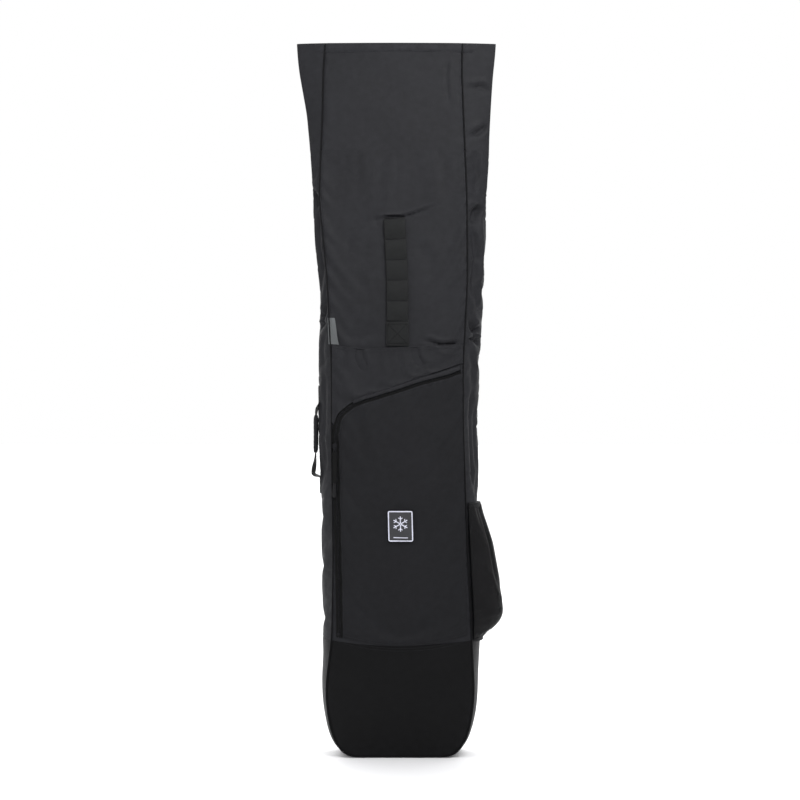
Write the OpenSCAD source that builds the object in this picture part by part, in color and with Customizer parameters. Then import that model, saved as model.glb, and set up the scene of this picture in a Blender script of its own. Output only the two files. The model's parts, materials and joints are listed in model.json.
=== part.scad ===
// Roll-top ski bag with a front zip pocket, a mesh side pocket and shoulder straps.
// Millimetres. +Z runs up the bag and -Y faces its front. The origin is the middle of its base.

/* [Bag] */
// Length of the bag with its roll top unrolled
bag_length = 1650; // [1500:10:1800]
// Width of the front panel from seam to seam, half way up
panel_width = 302; // [280:2:330]
// Depth of the bag from front seam to back seam, half way up
bag_depth = 126; // [116:2:140]
// Thickness of the coated cloth with its lining
wall = 3; // [2.5:0.5:3.5]
// Thickness of the foam sheets inside
foam = 5; // [3:1:6]

/* [Webbing] */
// Width of the webbing of the daisy chain
daisy_width = 50; // [38:1:50]
// Number of loops in the daisy chain
daisy_loops_n = 5; // [3:1:5]
// Width of the narrow webbing
webbing_width = 25; // [20:1:25]
// Thickness of the webbing
webbing = 2; // [1.5:0.5:2.5]
// Width of the padded shoulder straps
strap_width = 62; // [50:1:66]
// Thickness of the padded shoulder straps
strap_thick = 12; // [8:1:14]

/* [Hidden] */
$fn = 24;

CLOTH = "#2b2c2f";
HEAVY_CLOTH = "#1d1e21";
WEBBING = "#26292b";
PLASTIC = "#141416";
METAL = "#8e9296";
FOAM = "#4a4b4e";
LABEL = "#b9bbbd";
TAG = "#8b8d90";

// Heights of the seams and folds. They keep their share of the bag's length.
k = bag_length / 1650;
base_round = 170;
base_seam = 275 * k;
pocket_top = 942 * k;
collar_fold = 1290 * k;
mouth_fold = 1480 * k;
// Half the flat width of the base, and the gap that a fold leaves between two rigid lengths
base_flat = 78;
fold_gap = 0.8;
// Share of the depth that a gusset spans, so that it stops just short of the panels
gusset_span = 0.999;

// Shape along the bag. Each row is [share of the length, seam half width, gusset bulge, half depth,
// panel crown, skew, gusset power, shift]. Seam half width is a share of half panel_width, and half
// depth is a share of half bag_depth. The rest are millimetres.
STATIONS = [
  [0.000, 1.130, 10, 0.92, 0, 0, 2.4, 0],
  [0.103, 1.120, 12, 1.03, 8, 0, 2.4, 0],
  [0.167, 1.060, 22, 1.074, 10, 0, 2.2, 4],
  [0.273, 1.020, 27, 1.04, 12, 1, 2.2, 2],
  [0.460, 1.000, 30, 0.98, 12, 4, 2.0, -2],
  [0.545, 1.000, 34, 0.88, 10, 5, 1.9, -1],
  [0.667, 1.070, 29, 0.64, 6, 11, 1.8, 5],
  [0.782, 1.130, 29, 0.42, 3, 16, 1.7, 0],
  [0.897, 1.080, 50, 0.27, 3, 14, 1.5, -2],
  [0.964, 1.060, 66, 0.20, 4, 8, 1.3, -9],
  [1.000, 1.050, 73, 0.19, 4, 6, 1.2, -8]
];
function station(z, column) = lookup(z / bag_length, [for (s = STATIONS) [s[0], s[column]]]);

// How far the rounded base has opened out at height z, from 0 at the floor to 1
function opened(z) = z >= base_round ? 1 : pow(1 - pow(1 - max(z, 0) / base_round, 2), 0.3);
function half_width(z) = base_flat + (panel_width / 2 * station(z, 1) - base_flat) * opened(z);
function bulge(z) = station(z, 2);
function half_depth(z) = bag_depth / 2 * station(z, 3);
function crown(z) = station(z, 4);
function skew(z) = station(z, 5);
function shift(z) = station(z, 7);
function lift(z, out) = z - out * max(0, 1 - z / base_round);

// Points on the bag's surface, moved outwards by out. s runs across a panel and t across a gusset,
// both from -1 to 1.
function front_pt(z, s, out = 0) = [
  s * (half_width(z) + out) - skew(z) + shift(z), -half_depth(z) - out - crown(z) * (1 - s * s),
  lift(z, out)
];
function back_pt(z, s, out = 0) = [
  s * (half_width(z) + out) + skew(z) + shift(z), half_depth(z) + out + crown(z) * (1 - s * s),
  lift(z, out)
];
function side_pt(z, t, side, out = 0) = [
  side * (half_width(z) + out + bulge(z) * (1 - pow(abs(t), station(z, 6)))) + skew(z) * t + shift(z),
  t * (half_depth(z) + out), lift(z, out)
];
// The same surface by x: x is measured from the front panel's own middle, and from the bag's at the back.
function on_front(x, z, out) = front_pt(z, x / half_width(z), out);
function back_s(x, z) = (x - skew(z) - shift(z)) / half_width(z);
function on_back(x, z, out) = back_pt(z, back_s(x, z), out);
function back_y(x, z) = on_back(x, z, 0)[1];
function side_x(z, side) = side_pt(z, 0, side)[0];

// Grids of points: rows go up, and columns go from left to right as seen from outside the bag.
function steps(a, b, n) = [for (i = [0:n]) a + (b - a) * i / n];
function front_grid(zs, out, span = 1, n = 12) =
  [for (z = zs) [for (s = steps(-span, span, n)) front_pt(z, s, out)]];
function back_grid(zs, out, span = 1, n = 12) =
  [for (z = zs) [for (s = steps(span, -span, n)) back_pt(z, s, out)]];
function side_grid(zs, side, out, n = 8) =
  [for (z = zs) [for (t = steps(-side * gusset_span, side * gusset_span, n)) side_pt(z, t, side, out)]];
function ring_grid(zs, out) = [for (z = zs) concat(
  [for (s = steps(-1, 1, 6)) front_pt(z, s, out)], [for (i = [1:7]) side_pt(z, -1 + i / 4, 1, out)],
  [for (s = steps(1, -1, 6)) back_pt(z, s, out)], [for (i = [1:7]) side_pt(z, 1 - i / 4, -1, out)]
)];

function quad(a, b, c, d) = [[a, b, c], [a, c, d]];
function flat_list(lists) = [for (l = lists) for (v = l) v];

// Solid between two grids of points of the same size. With closed, each row is a loop.
module slab(outer, inner, closed = false) {
  n = len(outer) - 1;
  w = len(outer[0]);
  m = w - (closed ? 0 : 1);
  half = (n + 1) * w;
  function o(i, j) = i * w + j % w;
  function p(i, j) = half + o(i, j);
  polyhedron(
    points = concat(flat_list(outer), flat_list(inner)),
    faces = concat(
      [for (i = [0:n - 1]) for (j = [0:m - 1]) each quad(o(i, j), o(i + 1, j), o(i + 1, j + 1), o(i, j + 1))],
      [for (i = [0:n - 1]) for (j = [0:m - 1]) each quad(p(i, j), p(i, j + 1), p(i + 1, j + 1), p(i + 1, j))],
      [for (j = [0:m - 1]) each quad(o(0, j), o(0, j + 1), p(0, j + 1), p(0, j))],
      [for (j = [0:m - 1]) each quad(o(n, j + 1), o(n, j), p(n, j), p(n, j + 1))],
      closed ? [] : [for (i = [0:n - 1]) each quad(o(i, m), o(i + 1, m), p(i + 1, m), p(i, m))],
      closed ? [] : [for (i = [0:n - 1]) each quad(o(i, 0), p(i, 0), p(i + 1, 0), o(i + 1, 0))]
    )
  );
}

// Round tube of radius r along points that lie near one XZ plane
module tube(points, r, sides = 8) {
  n = len(points) - 1;
  function tangent(i) = points[min(i + 1, n)] - points[max(i - 1, 0)];
  function across(i) = let (c = cross(tangent(i), [0, 1, 0])) c / norm(c);
  function at(i, j) = i * sides + j % sides;
  rings = [for (i = [0:n]) for (j = [0:sides - 1]) let (a = 360 * j / sides)
    points[i] + r * (cos(a) * across(i) + sin(a) * [0, 1, 0])];
  walls = [for (i = [0:n - 1]) for (j = [0:sides - 1])
    each quad(at(i, j), at(i, j + 1), at(i + 1, j + 1), at(i + 1, j))];
  ends = [[for (j = [0:sides - 1]) sides - 1 - j], [for (j = [0:sides - 1]) at(n, j)]];
  polyhedron(points = rings, faces = concat(walls, ends));
}

// Flat strip whose rows are [centre, half width vector, thickness vector]
module strip(rows) {
  slab(
    [for (r = rows) [r[0] - r[1] + r[2], r[0] + r[2], r[0] + r[1] + r[2]]],
    [for (r = rows) [r[0] - r[1], r[0], r[0] + r[1]]]
  );
}

// Layers that lie on the front or the back, from low to high off its surface. from and to give the x of
// the layer's edges at a height, from left to right as seen from outside.
module front_layer(zs, from, to, low, high, n) {
  grid = function (out) [for (z = zs) [for (x = steps(from(z), to(z), n)) on_front(x, z, out)]];
  slab(grid(high), grid(low));
}
module back_layer(zs, from, to, low, high, n) {
  grid = function (out) [for (z = zs) [for (x = steps(from(z), to(z), n)) on_back(x, z, out)]];
  slab(grid(high), grid(low));
}

// Body shell
pocket_rows = steps(base_seam, pocket_top, 8);
upper_rows = steps(pocket_top, collar_fold - fold_gap / 2, 5);
body_rows = concat(pocket_rows, [for (i = [1:len(upper_rows) - 1]) upper_rows[i]]);
base_rows = concat([for (a = [0:15:75]) base_round * (1 - cos(a))], steps(base_round, base_seam, 2));

module front_sheet(zs, tone = CLOTH) {
  color(tone) slab(front_grid(zs, 0), front_grid(zs, -wall));
}
module back_sheet(zs, tone = CLOTH) {
  color(tone) slab(back_grid(zs, 0), back_grid(zs, -wall));
}
module side_sheet(zs, side) {
  color(CLOTH) slab(side_grid(zs, side, 0), side_grid(zs, side, -wall));
}
module front_panel() { front_sheet(upper_rows); }
module pocket_back_panel() { front_sheet(pocket_rows); }
module back_panel() { back_sheet(body_rows); }
module left_gusset() { side_sheet(body_rows, -1); }
module right_gusset() { side_sheet(body_rows, 1); }
module base_front_panel() { front_sheet(base_rows, HEAVY_CLOTH); }
module base_back_panel() { back_sheet(base_rows, HEAVY_CLOTH); }

// One strip of cloth that runs down the left side, under the base and up the right side
function under_row(z, side, out) =
  [for (t = steps(-gusset_span, gusset_span, 8)) side_pt(z, t, side, out)];
function under_grid(out) = concat(
  [for (i = [len(base_rows) - 1:-1:0]) under_row(base_rows[i], -1, out)],
  [for (z = base_rows) under_row(z, 1, out)]
);
module base_gusset() {
  color(HEAVY_CLOTH) slab(under_grid(0), under_grid(-wall));
}

// Board and foam sheets inside the bag
board_thick = 4;
board_corner = 12;
module base_board() {
  color(FOAM) translate([0, 0, wall + 0.6]) linear_extrude(board_thick) offset(r = board_corner)
    square([2 * base_flat - 26, 2 * half_depth(0) - 2 * wall - 28], center = true);
}
foam_rows = steps(base_seam + 10, collar_fold - 40, 10);
foam_span = 0.9;
foam_out = -wall - 0.8;
foam_in = foam_out - foam;
module front_foam() {
  color(FOAM) slab(front_grid(foam_rows, foam_out, foam_span), front_grid(foam_rows, foam_in, foam_span));
}
module back_foam() {
  color(FOAM) slab(back_grid(foam_rows, foam_out, foam_span), back_grid(foam_rows, foam_in, foam_span));
}

// Piping round the front and back edges, which lifts clear of the floor under the base
piping_r = 2;
piping_off = 2.4;
piping_bends = 6;
piping_steps = 16;
function piping_z(i) = i <= piping_bends ? base_round * (1 - cos(15 * i))
  : base_round + (collar_fold - 6 - base_round) * (i - piping_bends) / (piping_steps - piping_bends);
function piping_pt(i, side, face) =
  (face < 0 ? front_pt(piping_z(i), side) : back_pt(piping_z(i), side))
  + piping_off * (i == 0 ? [0.3 * side, face, 0.95] : [0.7 * side, face, 0]);
module piping(face) {
  color(WEBBING) tube(concat(
    [for (i = [piping_steps:-1:0]) piping_pt(i, -1, face)], [for (i = [0:piping_steps]) piping_pt(i, 1, face)]
  ), piping_r);
}
module front_piping() { piping(-1); }
module back_piping() { piping(1); }

// Front pocket. Its zip rises from the base beside the left seam, bends, and slants up to the right seam.
cover_off = 0.7;
cover = 2.4;
cover_inset = 4.8;
zip_slant = 18;
zip_bend = 50;
zip_x = -panel_width / 2 + 9;
zip_right = panel_width / 2 - 14;
zip_low = base_seam + 10;
zip_half = 7;
zip_corner_z = pocket_top - 58 - (panel_width / 2 - zip_x) * tan(zip_slant);
zip_straight = zip_corner_z - zip_bend * tan((90 - zip_slant) / 2);

// The zip's centre line moved to its upper left by d, as [x, z]: straight, then a bend, then the slant
ZIP_END = 22;
function zip_line(d) = let (
  r = zip_bend + d,
  x0 = zip_x + zip_bend - r * sin(zip_slant),
  z0 = zip_straight + r * cos(zip_slant),
  run = zip_right - x0
) concat(
  [for (z = steps(zip_low, zip_straight, 8)) [zip_x - d, z]],
  [for (a = steps(0, 90 - zip_slant, 6)) [zip_x + zip_bend - r * cos(a), zip_straight + r * sin(a)]],
  [for (f = steps(0, 1, 8)) [x0 + run * f, z0 + run * f * tan(zip_slant)]]
);
function zip_line_x(z, d) = lookup(z, [for (p = zip_line(d)) [p[1], p[0]]]);
function cover_edge(z) = half_width(z) - cover_inset;

module pocket_face() {
  d = -zip_half;
  rows = concat([base_seam + 1], [for (p = zip_line(d)) if (p[1] > base_seam + 40) p[1]]);
  color(CLOTH) front_layer(rows, function (z) zip_line_x(z, d), function (z) cover_edge(z),
    cover_off, cover_off + cover, 8);
}
// The flap starts where the zip has bent clear of the left seam.
module pocket_flap() {
  low = zip_straight + 36;
  line = [for (p = zip_line(zip_half)) if (p[1] > low + 4) p];
  last = line[len(line) - 1];
  foot = concat([[-cover_edge(low), low]], line, [[cover_edge(last[1]), last[1] + 3]]);
  function share(p) = (p[0] - foot[0][0]) / (foot[len(foot) - 1][0] - foot[0][0]);
  function head(p) = [(2 * share(p) - 1) * cover_edge(pocket_top), pocket_top];
  grid = function (out) [for (f = steps(0, 1, 4)) [for (p = foot)
    let (q = p + (head(p) - p) * f) on_front(q[0], q[1], out)]];
  color(CLOTH) slab(grid(cover_off + cover), grid(cover_off));
}
tape_thick = 1.4;
function zip_grid(out) = [for (i = [0:ZIP_END]) [
  for (d = [6, 2, -2, -6]) let (p = zip_line(d)[i]) on_front(p[0], p[1], out)
]];
module pocket_zip_tape() {
  color(WEBBING) slab(zip_grid(cover_off + tape_thick), zip_grid(cover_off));
}
stop_size = [5, 1.1, 4];
module zip_stop(i, lean) {
  p = zip_line(0)[i];
  translate(on_front(p[0], p[1], cover_off + tape_thick + 0.95)) rotate([0, lean, 0])
    cube(stop_size, center = true);
}
module zip_stops() {
  color(METAL) union() {
    zip_stop(0, 0);
    zip_stop(ZIP_END, -zip_slant);
  }
}

// Zip slider with a bridge, and a long pull whose crossbar lies under the bridge
slider_low = zip_low + 26;
slider_high = zip_straight - 6;
slider_rest = slider_high - 34;
slider_thick = 2.8;
pull_off = 4.6;
function slider_pt(z) = on_front(zip_x, z, 3);
slider_lean = atan2(slider_pt(slider_high)[1] - slider_pt(slider_low)[1], slider_high - slider_low);
module at_slider() {
  translate(slider_pt(slider_rest)) rotate([-slider_lean, 0, 0]) children();
}
module slider_lobe(z, r) {
  translate([0, -slider_thick / 2, z]) rotate([90, 0, 0]) cylinder(r = r, h = slider_thick, center = true);
}
module zip_slider() {
  color(METAL) at_slider() difference() {
    union() {
      hull() {
        slider_lobe(4.5, 5.2);
        slider_lobe(-5, 3.6);
      }
      translate([-1.5, -7, -5.5]) cube([3, 4.4, 11]);
    }
    translate([-2, -5.6, -3.6]) cube([4, 2.8, 7.2]);
  }
}
// Outline of the moulded end of the pull, as [radius, height above its foot]
PULL_END = [[0, 0], [2.4, 0], [3.1, 1.5], [3.2, 8], [2.9, 28], [2.3, 33], [0, 33]];
pull_len = 114;
pull_thick = 1.6;
// One flat length of the pull, from its top to its foot, measured down from the slider
module pull_strip(x, width, top, foot) {
  translate([x - width / 2, -pull_off - pull_thick / 2, -foot]) cube([width, pull_thick, foot - top]);
}
module zip_pull() {
  color(PLASTIC) at_slider() union() {
    translate([0, -pull_off, 1]) rotate([0, 90, 0]) cylinder(r = pull_thick / 2, h = 6.4, center = true);
    for (x = [-2.6, 2.6]) pull_strip(x, 1.2, -1, 12);
    pull_strip(0, 6.4, 11.6, 30);
    pull_strip(0, 8, 29, 84);
    translate([0, -pull_off, -pull_len]) rotate_extrude() polygon(PULL_END);
  }
}

// Daisy chain on the front, above the pocket: a flat tape, the loops on it and its folded end
daisy_top = 1241 * k;
daisy_low = 947 * k;
daisy_end_h = 56;
daisy_pitch = (daisy_top - daisy_low - daisy_end_h) / daisy_loops_n;
daisy_off = 0.6;
daisy_second = daisy_off + webbing + 0.3;
loop_rise = 9;
module daisy_layer(zs, width, low, high) {
  color(WEBBING) front_layer(zs, function (z) -width / 2, function (z) width / 2, low, high, 4);
}
module daisy_webbing() {
  daisy_layer(steps(daisy_low, daisy_top, 6), daisy_width, daisy_off, daisy_off + webbing);
}
module daisy_end() {
  daisy_layer(steps(daisy_low + 1, daisy_low + daisy_end_h - 2, 3), daisy_width + 2,
    daisy_second, daisy_second + webbing + 0.9);
}
module daisy_loop(z0) {
  function rise(a) = loop_rise * pow(sin(a), 0.7);
  grid = function (out) [for (a = [0:15:180]) let (z = z0 + daisy_pitch * (0.5 - 0.46 * cos(a)))
    [for (x = steps(-daisy_width / 2 + 1, daisy_width / 2 - 1, 2)) on_front(x, z, out + rise(a))]];
  slab(grid(daisy_second + webbing), grid(daisy_second));
}
module daisy_loops() {
  color(WEBBING) union() for (i = [0:daisy_loops_n - 1])
    daisy_loop(daisy_low + daisy_end_h + i * daisy_pitch);
}

// Label on the pocket, and a tag in the left seam that hangs over the piping
label_low = 497 * k;
label_size = [56, 70];
tag_size = [18, 62];
tag_hang = 2;
module front_label() {
  color(LABEL) front_layer(steps(label_low, label_low + label_size[1], 3),
    function (z) -label_size[0] / 2, function (z) label_size[0] / 2,
    cover_off + cover + 0.4, cover_off + cover + 2, 4);
}
module side_tag() {
  tag_off = piping_off + piping_r + 0.4;
  color(TAG) front_layer(steps(pocket_top + 4, pocket_top + 4 + tag_size[1], 3),
    function (z) -half_width(z) - tag_hang, function (z) -half_width(z) - tag_hang + tag_size[0],
    tag_off, tag_off + 1.6, 2);
}

// Mesh pocket on the right gusset: a full pouch that narrows to an elastic edge.
// MESH_FULL is [share of its height, how far it stands out].
mesh_low = base_seam - 4;
mesh_top = 594 * k;
mesh_span = 0.93;
mesh_thick = 1.6;
MESH_FULL = [[0, 3], [0.06, 16], [0.14, 36], [0.24, 51], [0.45, 47], [0.70, 37], [0.90, 17], [1, 11]];
MESH_ROWS = [0, 0.06, 0.14, 0.24, 0.34, 0.45, 0.58, 0.70, 0.80, 0.90, 0.965];
function mesh_z(f) = mesh_low + f * (mesh_top - mesh_low);
function mesh_pt(f, t, out) = let (
  full = lookup(f, MESH_FULL),
  p = side_pt(mesh_z(f), t, 1),
  belly = pow(1 - pow(abs(t / 0.94), 2.6), 0.75)
) [p[0] + 1 + (full - 1) * belly + out, p[1] * (1 + 0.06 * full / 51), p[2]];
function mesh_grid(shares, out) =
  [for (f = shares) [for (t = steps(-mesh_span, mesh_span, 12)) mesh_pt(f, t, out)]];
module mesh_pocket() {
  color(HEAVY_CLOTH) slab(mesh_grid(MESH_ROWS, 0), mesh_grid(MESH_ROWS, -mesh_thick));
}
module mesh_elastic() {
  rows = steps(0.966, 1, 2);
  color(WEBBING) slab(mesh_grid(rows, 0.8), mesh_grid(rows, -mesh_thick - 0.6));
}

// Carrying handle on the left gusset: two sewn anchors, a webbing arch and a grip of two pads
handle_high = 854 * k;
handle_low = 606 * k;
handle_stand = 17;
anchor_h = 38;
grip_thick = 2.8;
// [share of the arch's length, share of handle_stand]
HANDLE = [[0, 0.32], [0.06, 0.72], [0.15, 1], [0.85, 1], [0.94, 0.72], [1, 0.32]];
module handle_anchor(z) {
  strip([for (h = [-anchor_h / 2, 0, anchor_h / 2])
    [[side_x(z + h, -1) - 1.2, 0, z + h], [0, -webbing_width / 2, 0], [-3.6, 0, 0]]]);
}
module handle_anchors() {
  color(WEBBING) union() {
    handle_anchor(handle_high - anchor_h / 2);
    handle_anchor(handle_low + anchor_h / 2);
  }
}
function handle_z(f) = handle_low + anchor_h + 2 + f * (handle_high - handle_low - 2 * anchor_h - 4);
function handle_x(f) = side_x(handle_z(f), -1) - handle_stand * lookup(f, HANDLE);
module handle_strip(shares, x, width, thick) {
  strip([for (f = shares) [[handle_x(f) + x, 0, handle_z(f)], [0, -width / 2, 0], [-thick, 0, 0]]]);
}
module handle_webbing() {
  color(WEBBING) handle_strip([0, 0.06, 0.15, 0.5, 0.85, 0.94, 1], 0, webbing_width, webbing);
}
module handle_grip() {
  color(WEBBING) for (x = [-webbing - 0.3, grip_thick + 0.3])
    handle_strip([0.3, 0.575, 0.85], x, webbing_width + 6, grip_thick);
}

// Shoulder straps on the back. Each table is by share of the pad's length from its top: x, distance off
// the back panel, and share of strap_width.
strap_top = 1000 * k;
strap_low = 612 * k;
STRAP_X = [[0, 44], [0.3, 66], [0.6, 84], [1, 84]];
STRAP_OFF = [[0, 8], [0.15, 16], [0.4, 32], [0.62, 39], [0.85, 34], [1, 26]];
STRAP_W = [[0, 0.72], [0.15, 0.92], [0.5, 1], [0.85, 0.86], [1, 0.6]];
// [place across the pad, height of its upper face, height of its lower face], as shares
PAD_EDGE = [
  [1, 0.72, 0.28], [0.9, 1, 0], [0.5, 1, 0], [0, 1, 0], [-0.5, 1, 0], [-0.9, 1, 0], [-1, 0.72, 0.28]
];
function strap_z(f) = strap_top + f * (strap_low - strap_top);
function strap_centre(f, side) = let (x = side * lookup(f, STRAP_X))
  [x, back_y(x, strap_z(f)) + lookup(f, STRAP_OFF), strap_z(f)];
function pad_grid(side, face) = [for (f = steps(1, 0, 14)) let (w = strap_width / 2 * lookup(f, STRAP_W))
  [for (e = PAD_EDGE) strap_centre(f, side) + [e[0] * w, strap_thick * e[face], 0]]];
module shoulder_pad(side) {
  color(CLOTH) slab(pad_grid(side, 1), pad_grid(side, 2));
}
lock_size = [webbing_width + 8, 5, 26];
lock_slot = [webbing_width + 1.5, 12, 4.8];
function lock_centre(side) = strap_centre(1, side) + [0, strap_thick / 2, -lock_size[2] / 2 - 8];
module ladder_lock(side) {
  color(PLASTIC) translate(lock_centre(side)) difference() {
    union() {
      cube(lock_size, center = true);
      for (z = [-0.5, 0.5]) translate([0, 0, z * lock_size[2]]) rotate([0, 90, 0])
        cylinder(d = lock_size[1], h = lock_size[0], center = true);
    }
    for (z = [-9, -1, 7]) translate([0, 0, z]) cube(lock_slot, center = true);
  }
}
// Loose end of the adjusting webbing, behind the ladder lock
tail_len = 120;
module strap_tail(side) {
  top = lock_centre(side) + [0, 4, 4];
  color(WEBBING) strip([for (f = steps(1, 0, 5))
    [top + [0, 5 * sin(180 * f), -f * tail_len], [0.5 - webbing_width / 2, 0, 0], [0, webbing, 0]]]);
}
// Adjusting webbing from the anchor on the back panel up to the ladder lock
anchor_z = 430 * k;
anchor_x = panel_width / 2 - 20;
function lower_foot(side) = [side * anchor_x, back_y(side * anchor_x, anchor_z) + 5.5, anchor_z];
module lower_webbing(side) {
  a = lower_foot(side);
  b = lock_centre(side) + [0, -1, -lock_size[2] / 2 - 5];
  color(WEBBING) strip([for (f = steps(0, 1, 4))
    [a + (b - a) * f + [0, 5 * sin(180 * f), 0], [-webbing_width / 2, 0, 0], [0, webbing, 0]]]);
}
module lower_anchor(side) {
  low = anchor_z - 46;
  outer = anchor_x + 16;
  function width(z) = 14 + 0.3 * (z - low);
  back_layer(steps(low, low + 40, 4),
    function (z) side > 0 ? outer : -outer + width(z), function (z) side > 0 ? outer - width(z) : -outer,
    0.8, 3.4, 3);
}
module lower_anchors() {
  color(HEAVY_CLOTH) union() {
    lower_anchor(-1);
    lower_anchor(1);
  }
}
yoke_low = strap_top + 5;
yoke_h = 62;
module yoke() {
  function half(z) = 84 - 26 * (z - yoke_low) / yoke_h;
  color(HEAVY_CLOTH) back_layer(steps(yoke_low, yoke_low + yoke_h, 4),
    function (z) half(z), function (z) -half(z), 0.8, 4, 8);
}

// Roll top: two rigid lengths of the sleeve, each above a fold
collar_rows = steps(collar_fold + fold_gap / 2, mouth_fold - fold_gap / 2, 4);
mouth_rows = steps(mouth_fold + fold_gap / 2, bag_length, 5);
module collar_front() { front_sheet(collar_rows); }
module collar_back() { back_sheet(collar_rows); }
module collar_left() { side_sheet(collar_rows, -1); }
module collar_right() { side_sheet(collar_rows, 1); }
module mouth_front() { front_sheet(mouth_rows); }
module mouth_back() { back_sheet(mouth_rows); }
module mouth_left() { side_sheet(mouth_rows, -1); }
module mouth_right() { side_sheet(mouth_rows, 1); }

// Hem round the mouth, and the strips that stiffen it
hem_h = 22;
hem_rows = steps(bag_length - hem_h, bag_length, 2);
stiffener_rows = [bag_length - hem_h, bag_length - 2];
stiffener_out = -wall - 0.5;
stiffener_thick = 1.2;
stiffener_span = 0.95;
module mouth_hem() {
  color(CLOTH) slab(ring_grid(hem_rows, 1.9), ring_grid(hem_rows, 0.5), closed = true);
}
module front_stiffener() {
  color(PLASTIC) slab(front_grid(stiffener_rows, stiffener_out, stiffener_span, 6),
    front_grid(stiffener_rows, stiffener_out - stiffener_thick, stiffener_span, 6));
}
module back_stiffener() {
  color(PLASTIC) slab(back_grid(stiffener_rows, stiffener_out, stiffener_span, 6),
    back_grid(stiffener_rows, stiffener_out - stiffener_thick, stiffener_span, 6));
}

// Closure strap on the back of the collar: a sewn anchor, webbing with an adjuster, and a hook on a bar
closure_z = 1452 * k;
closure_len = 196;
closure_x = skew(closure_z) + shift(closure_z);
function closure_at(f) = let (z = closure_z - 4 - f * (closure_len - 4))
  [closure_x, back_y(closure_x, z) + 4 + 2 * f, z];
module closure_anchor() {
  color(WEBBING) back_layer(steps(closure_z, closure_z + 24, 2),
    function (z) closure_x + 16, function (z) closure_x - 16, 0.7, 3.2, 2);
}
hook_bar_r = 2;
hook_bar_play = 0.4;
hook_y = closure_at(1)[1] + webbing / 2;
hook_z = closure_z - closure_len - hook_bar_r - webbing + 1;
module across_hook(r, width) {
  translate([closure_x, hook_y, hook_z]) rotate([0, 90, 0]) cylinder(r = r, h = width, center = true);
}
module closure_webbing() {
  color(WEBBING) difference() {
    union() {
      strip([for (f = steps(1, 0, 6)) [closure_at(f), [-webbing_width / 2, 0, 0], [0, webbing, 0]]]);
      across_hook(hook_bar_r + hook_bar_play + webbing, webbing_width);
    }
    across_hook(hook_bar_r + hook_bar_play, webbing_width + 2);
  }
}
adjuster_size = [webbing_width + 8, 4, 22];
module closure_adjuster() {
  lean = atan2(closure_at(1)[1] - closure_at(0)[1], closure_len);
  color(PLASTIC) translate(closure_at(0.45) + [0, webbing + 0.5, 0]) rotate([lean, 0, 0]) difference() {
    translate([-adjuster_size[0] / 2, 0, -adjuster_size[2] / 2]) cube(adjuster_size);
    for (z = [-8, 2]) translate([-webbing_width / 2 - 0.5, -1, z]) cube([webbing_width + 1, 6, 6]);
  }
}
hook_w = webbing_width + 9;
hook_plate = 3;
hook_drop = 14;
hook_back_h = 16.5;
hook_tip_h = 12;
hook_bend_r = 7;
hook_arm_w = 3.6;
module hook_sheet(x, y, z, width, height) {
  translate([x, y, z]) cube([width, hook_plate, height]);
}
module closure_hook() {
  y = -hook_plate / 2;
  color(METAL) translate([closure_x, hook_y, hook_z]) {
    rotate([0, 90, 0]) cylinder(r = hook_bar_r, h = hook_w - 2, center = true);
    for (x = [-hook_w / 2, hook_w / 2 - hook_arm_w])
      hook_sheet(x, y, -hook_drop, hook_arm_w, hook_drop + 1.5);
    hook_sheet(-hook_w / 2, y, -hook_drop - 16, hook_w, hook_back_h);
    translate([-hook_w / 2, y + hook_bend_r, -hook_drop - 16]) rotate([90, 0, 90]) difference() {
      cylinder(r = hook_bend_r, h = hook_w);
      translate([0, 0, -1]) cylinder(r = hook_bend_r - hook_plate, h = hook_w + 2);
      translate([-hook_bend_r - 1, 0, -1]) cube([2 * hook_bend_r + 2, hook_bend_r + 1, hook_w + 2]);
    }
    hook_sheet(-hook_w / 2, y + 2 * hook_bend_r - hook_plate, -hook_drop - 16.2, hook_w, hook_tip_h);
  }
}

module left_shoulder_pad() { shoulder_pad(-1); }
module left_ladder_lock() { ladder_lock(-1); }
module left_lower_webbing() { lower_webbing(-1); }
module left_tail() { strap_tail(-1); }
module right_shoulder_pad() { shoulder_pad(1); }
module right_ladder_lock() { ladder_lock(1); }
module right_lower_webbing() { lower_webbing(1); }
module right_tail() { strap_tail(1); }

front_panel();
pocket_back_panel();
pocket_flap();
pocket_face();
pocket_zip_tape();
zip_stops();
left_gusset();
right_gusset();
back_panel();
base_front_panel();
base_back_panel();
base_gusset();
base_board();
front_foam();
back_foam();
front_piping();
back_piping();
daisy_webbing();
daisy_loops();
daisy_end();
front_label();
side_tag();
mesh_pocket();
mesh_elastic();
handle_anchors();
yoke();
lower_anchors();
collar_front();
collar_right();
collar_back();
collar_left();
closure_anchor();
mouth_front();
mouth_right();
mouth_back();
mouth_left();
mouth_hem();
front_stiffener();
back_stiffener();
closure_webbing();
closure_adjuster();
closure_hook();
handle_webbing();
handle_grip();
zip_slider();
zip_pull();
left_shoulder_pad();
left_ladder_lock();
left_lower_webbing();
left_tail();
right_shoulder_pad();
right_ladder_lock();
right_lower_webbing();
right_tail();
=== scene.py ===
"""Looks of the roll-top ski bag: cloth shell, zip pocket, mesh pocket, webbing, hook closure and straps.

Sizes below are in millimetres and meshes are in metres. The bag stands on z = 0, -Y is its front, and +X is
the side of its mesh pocket.
"""

import json
import math

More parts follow.
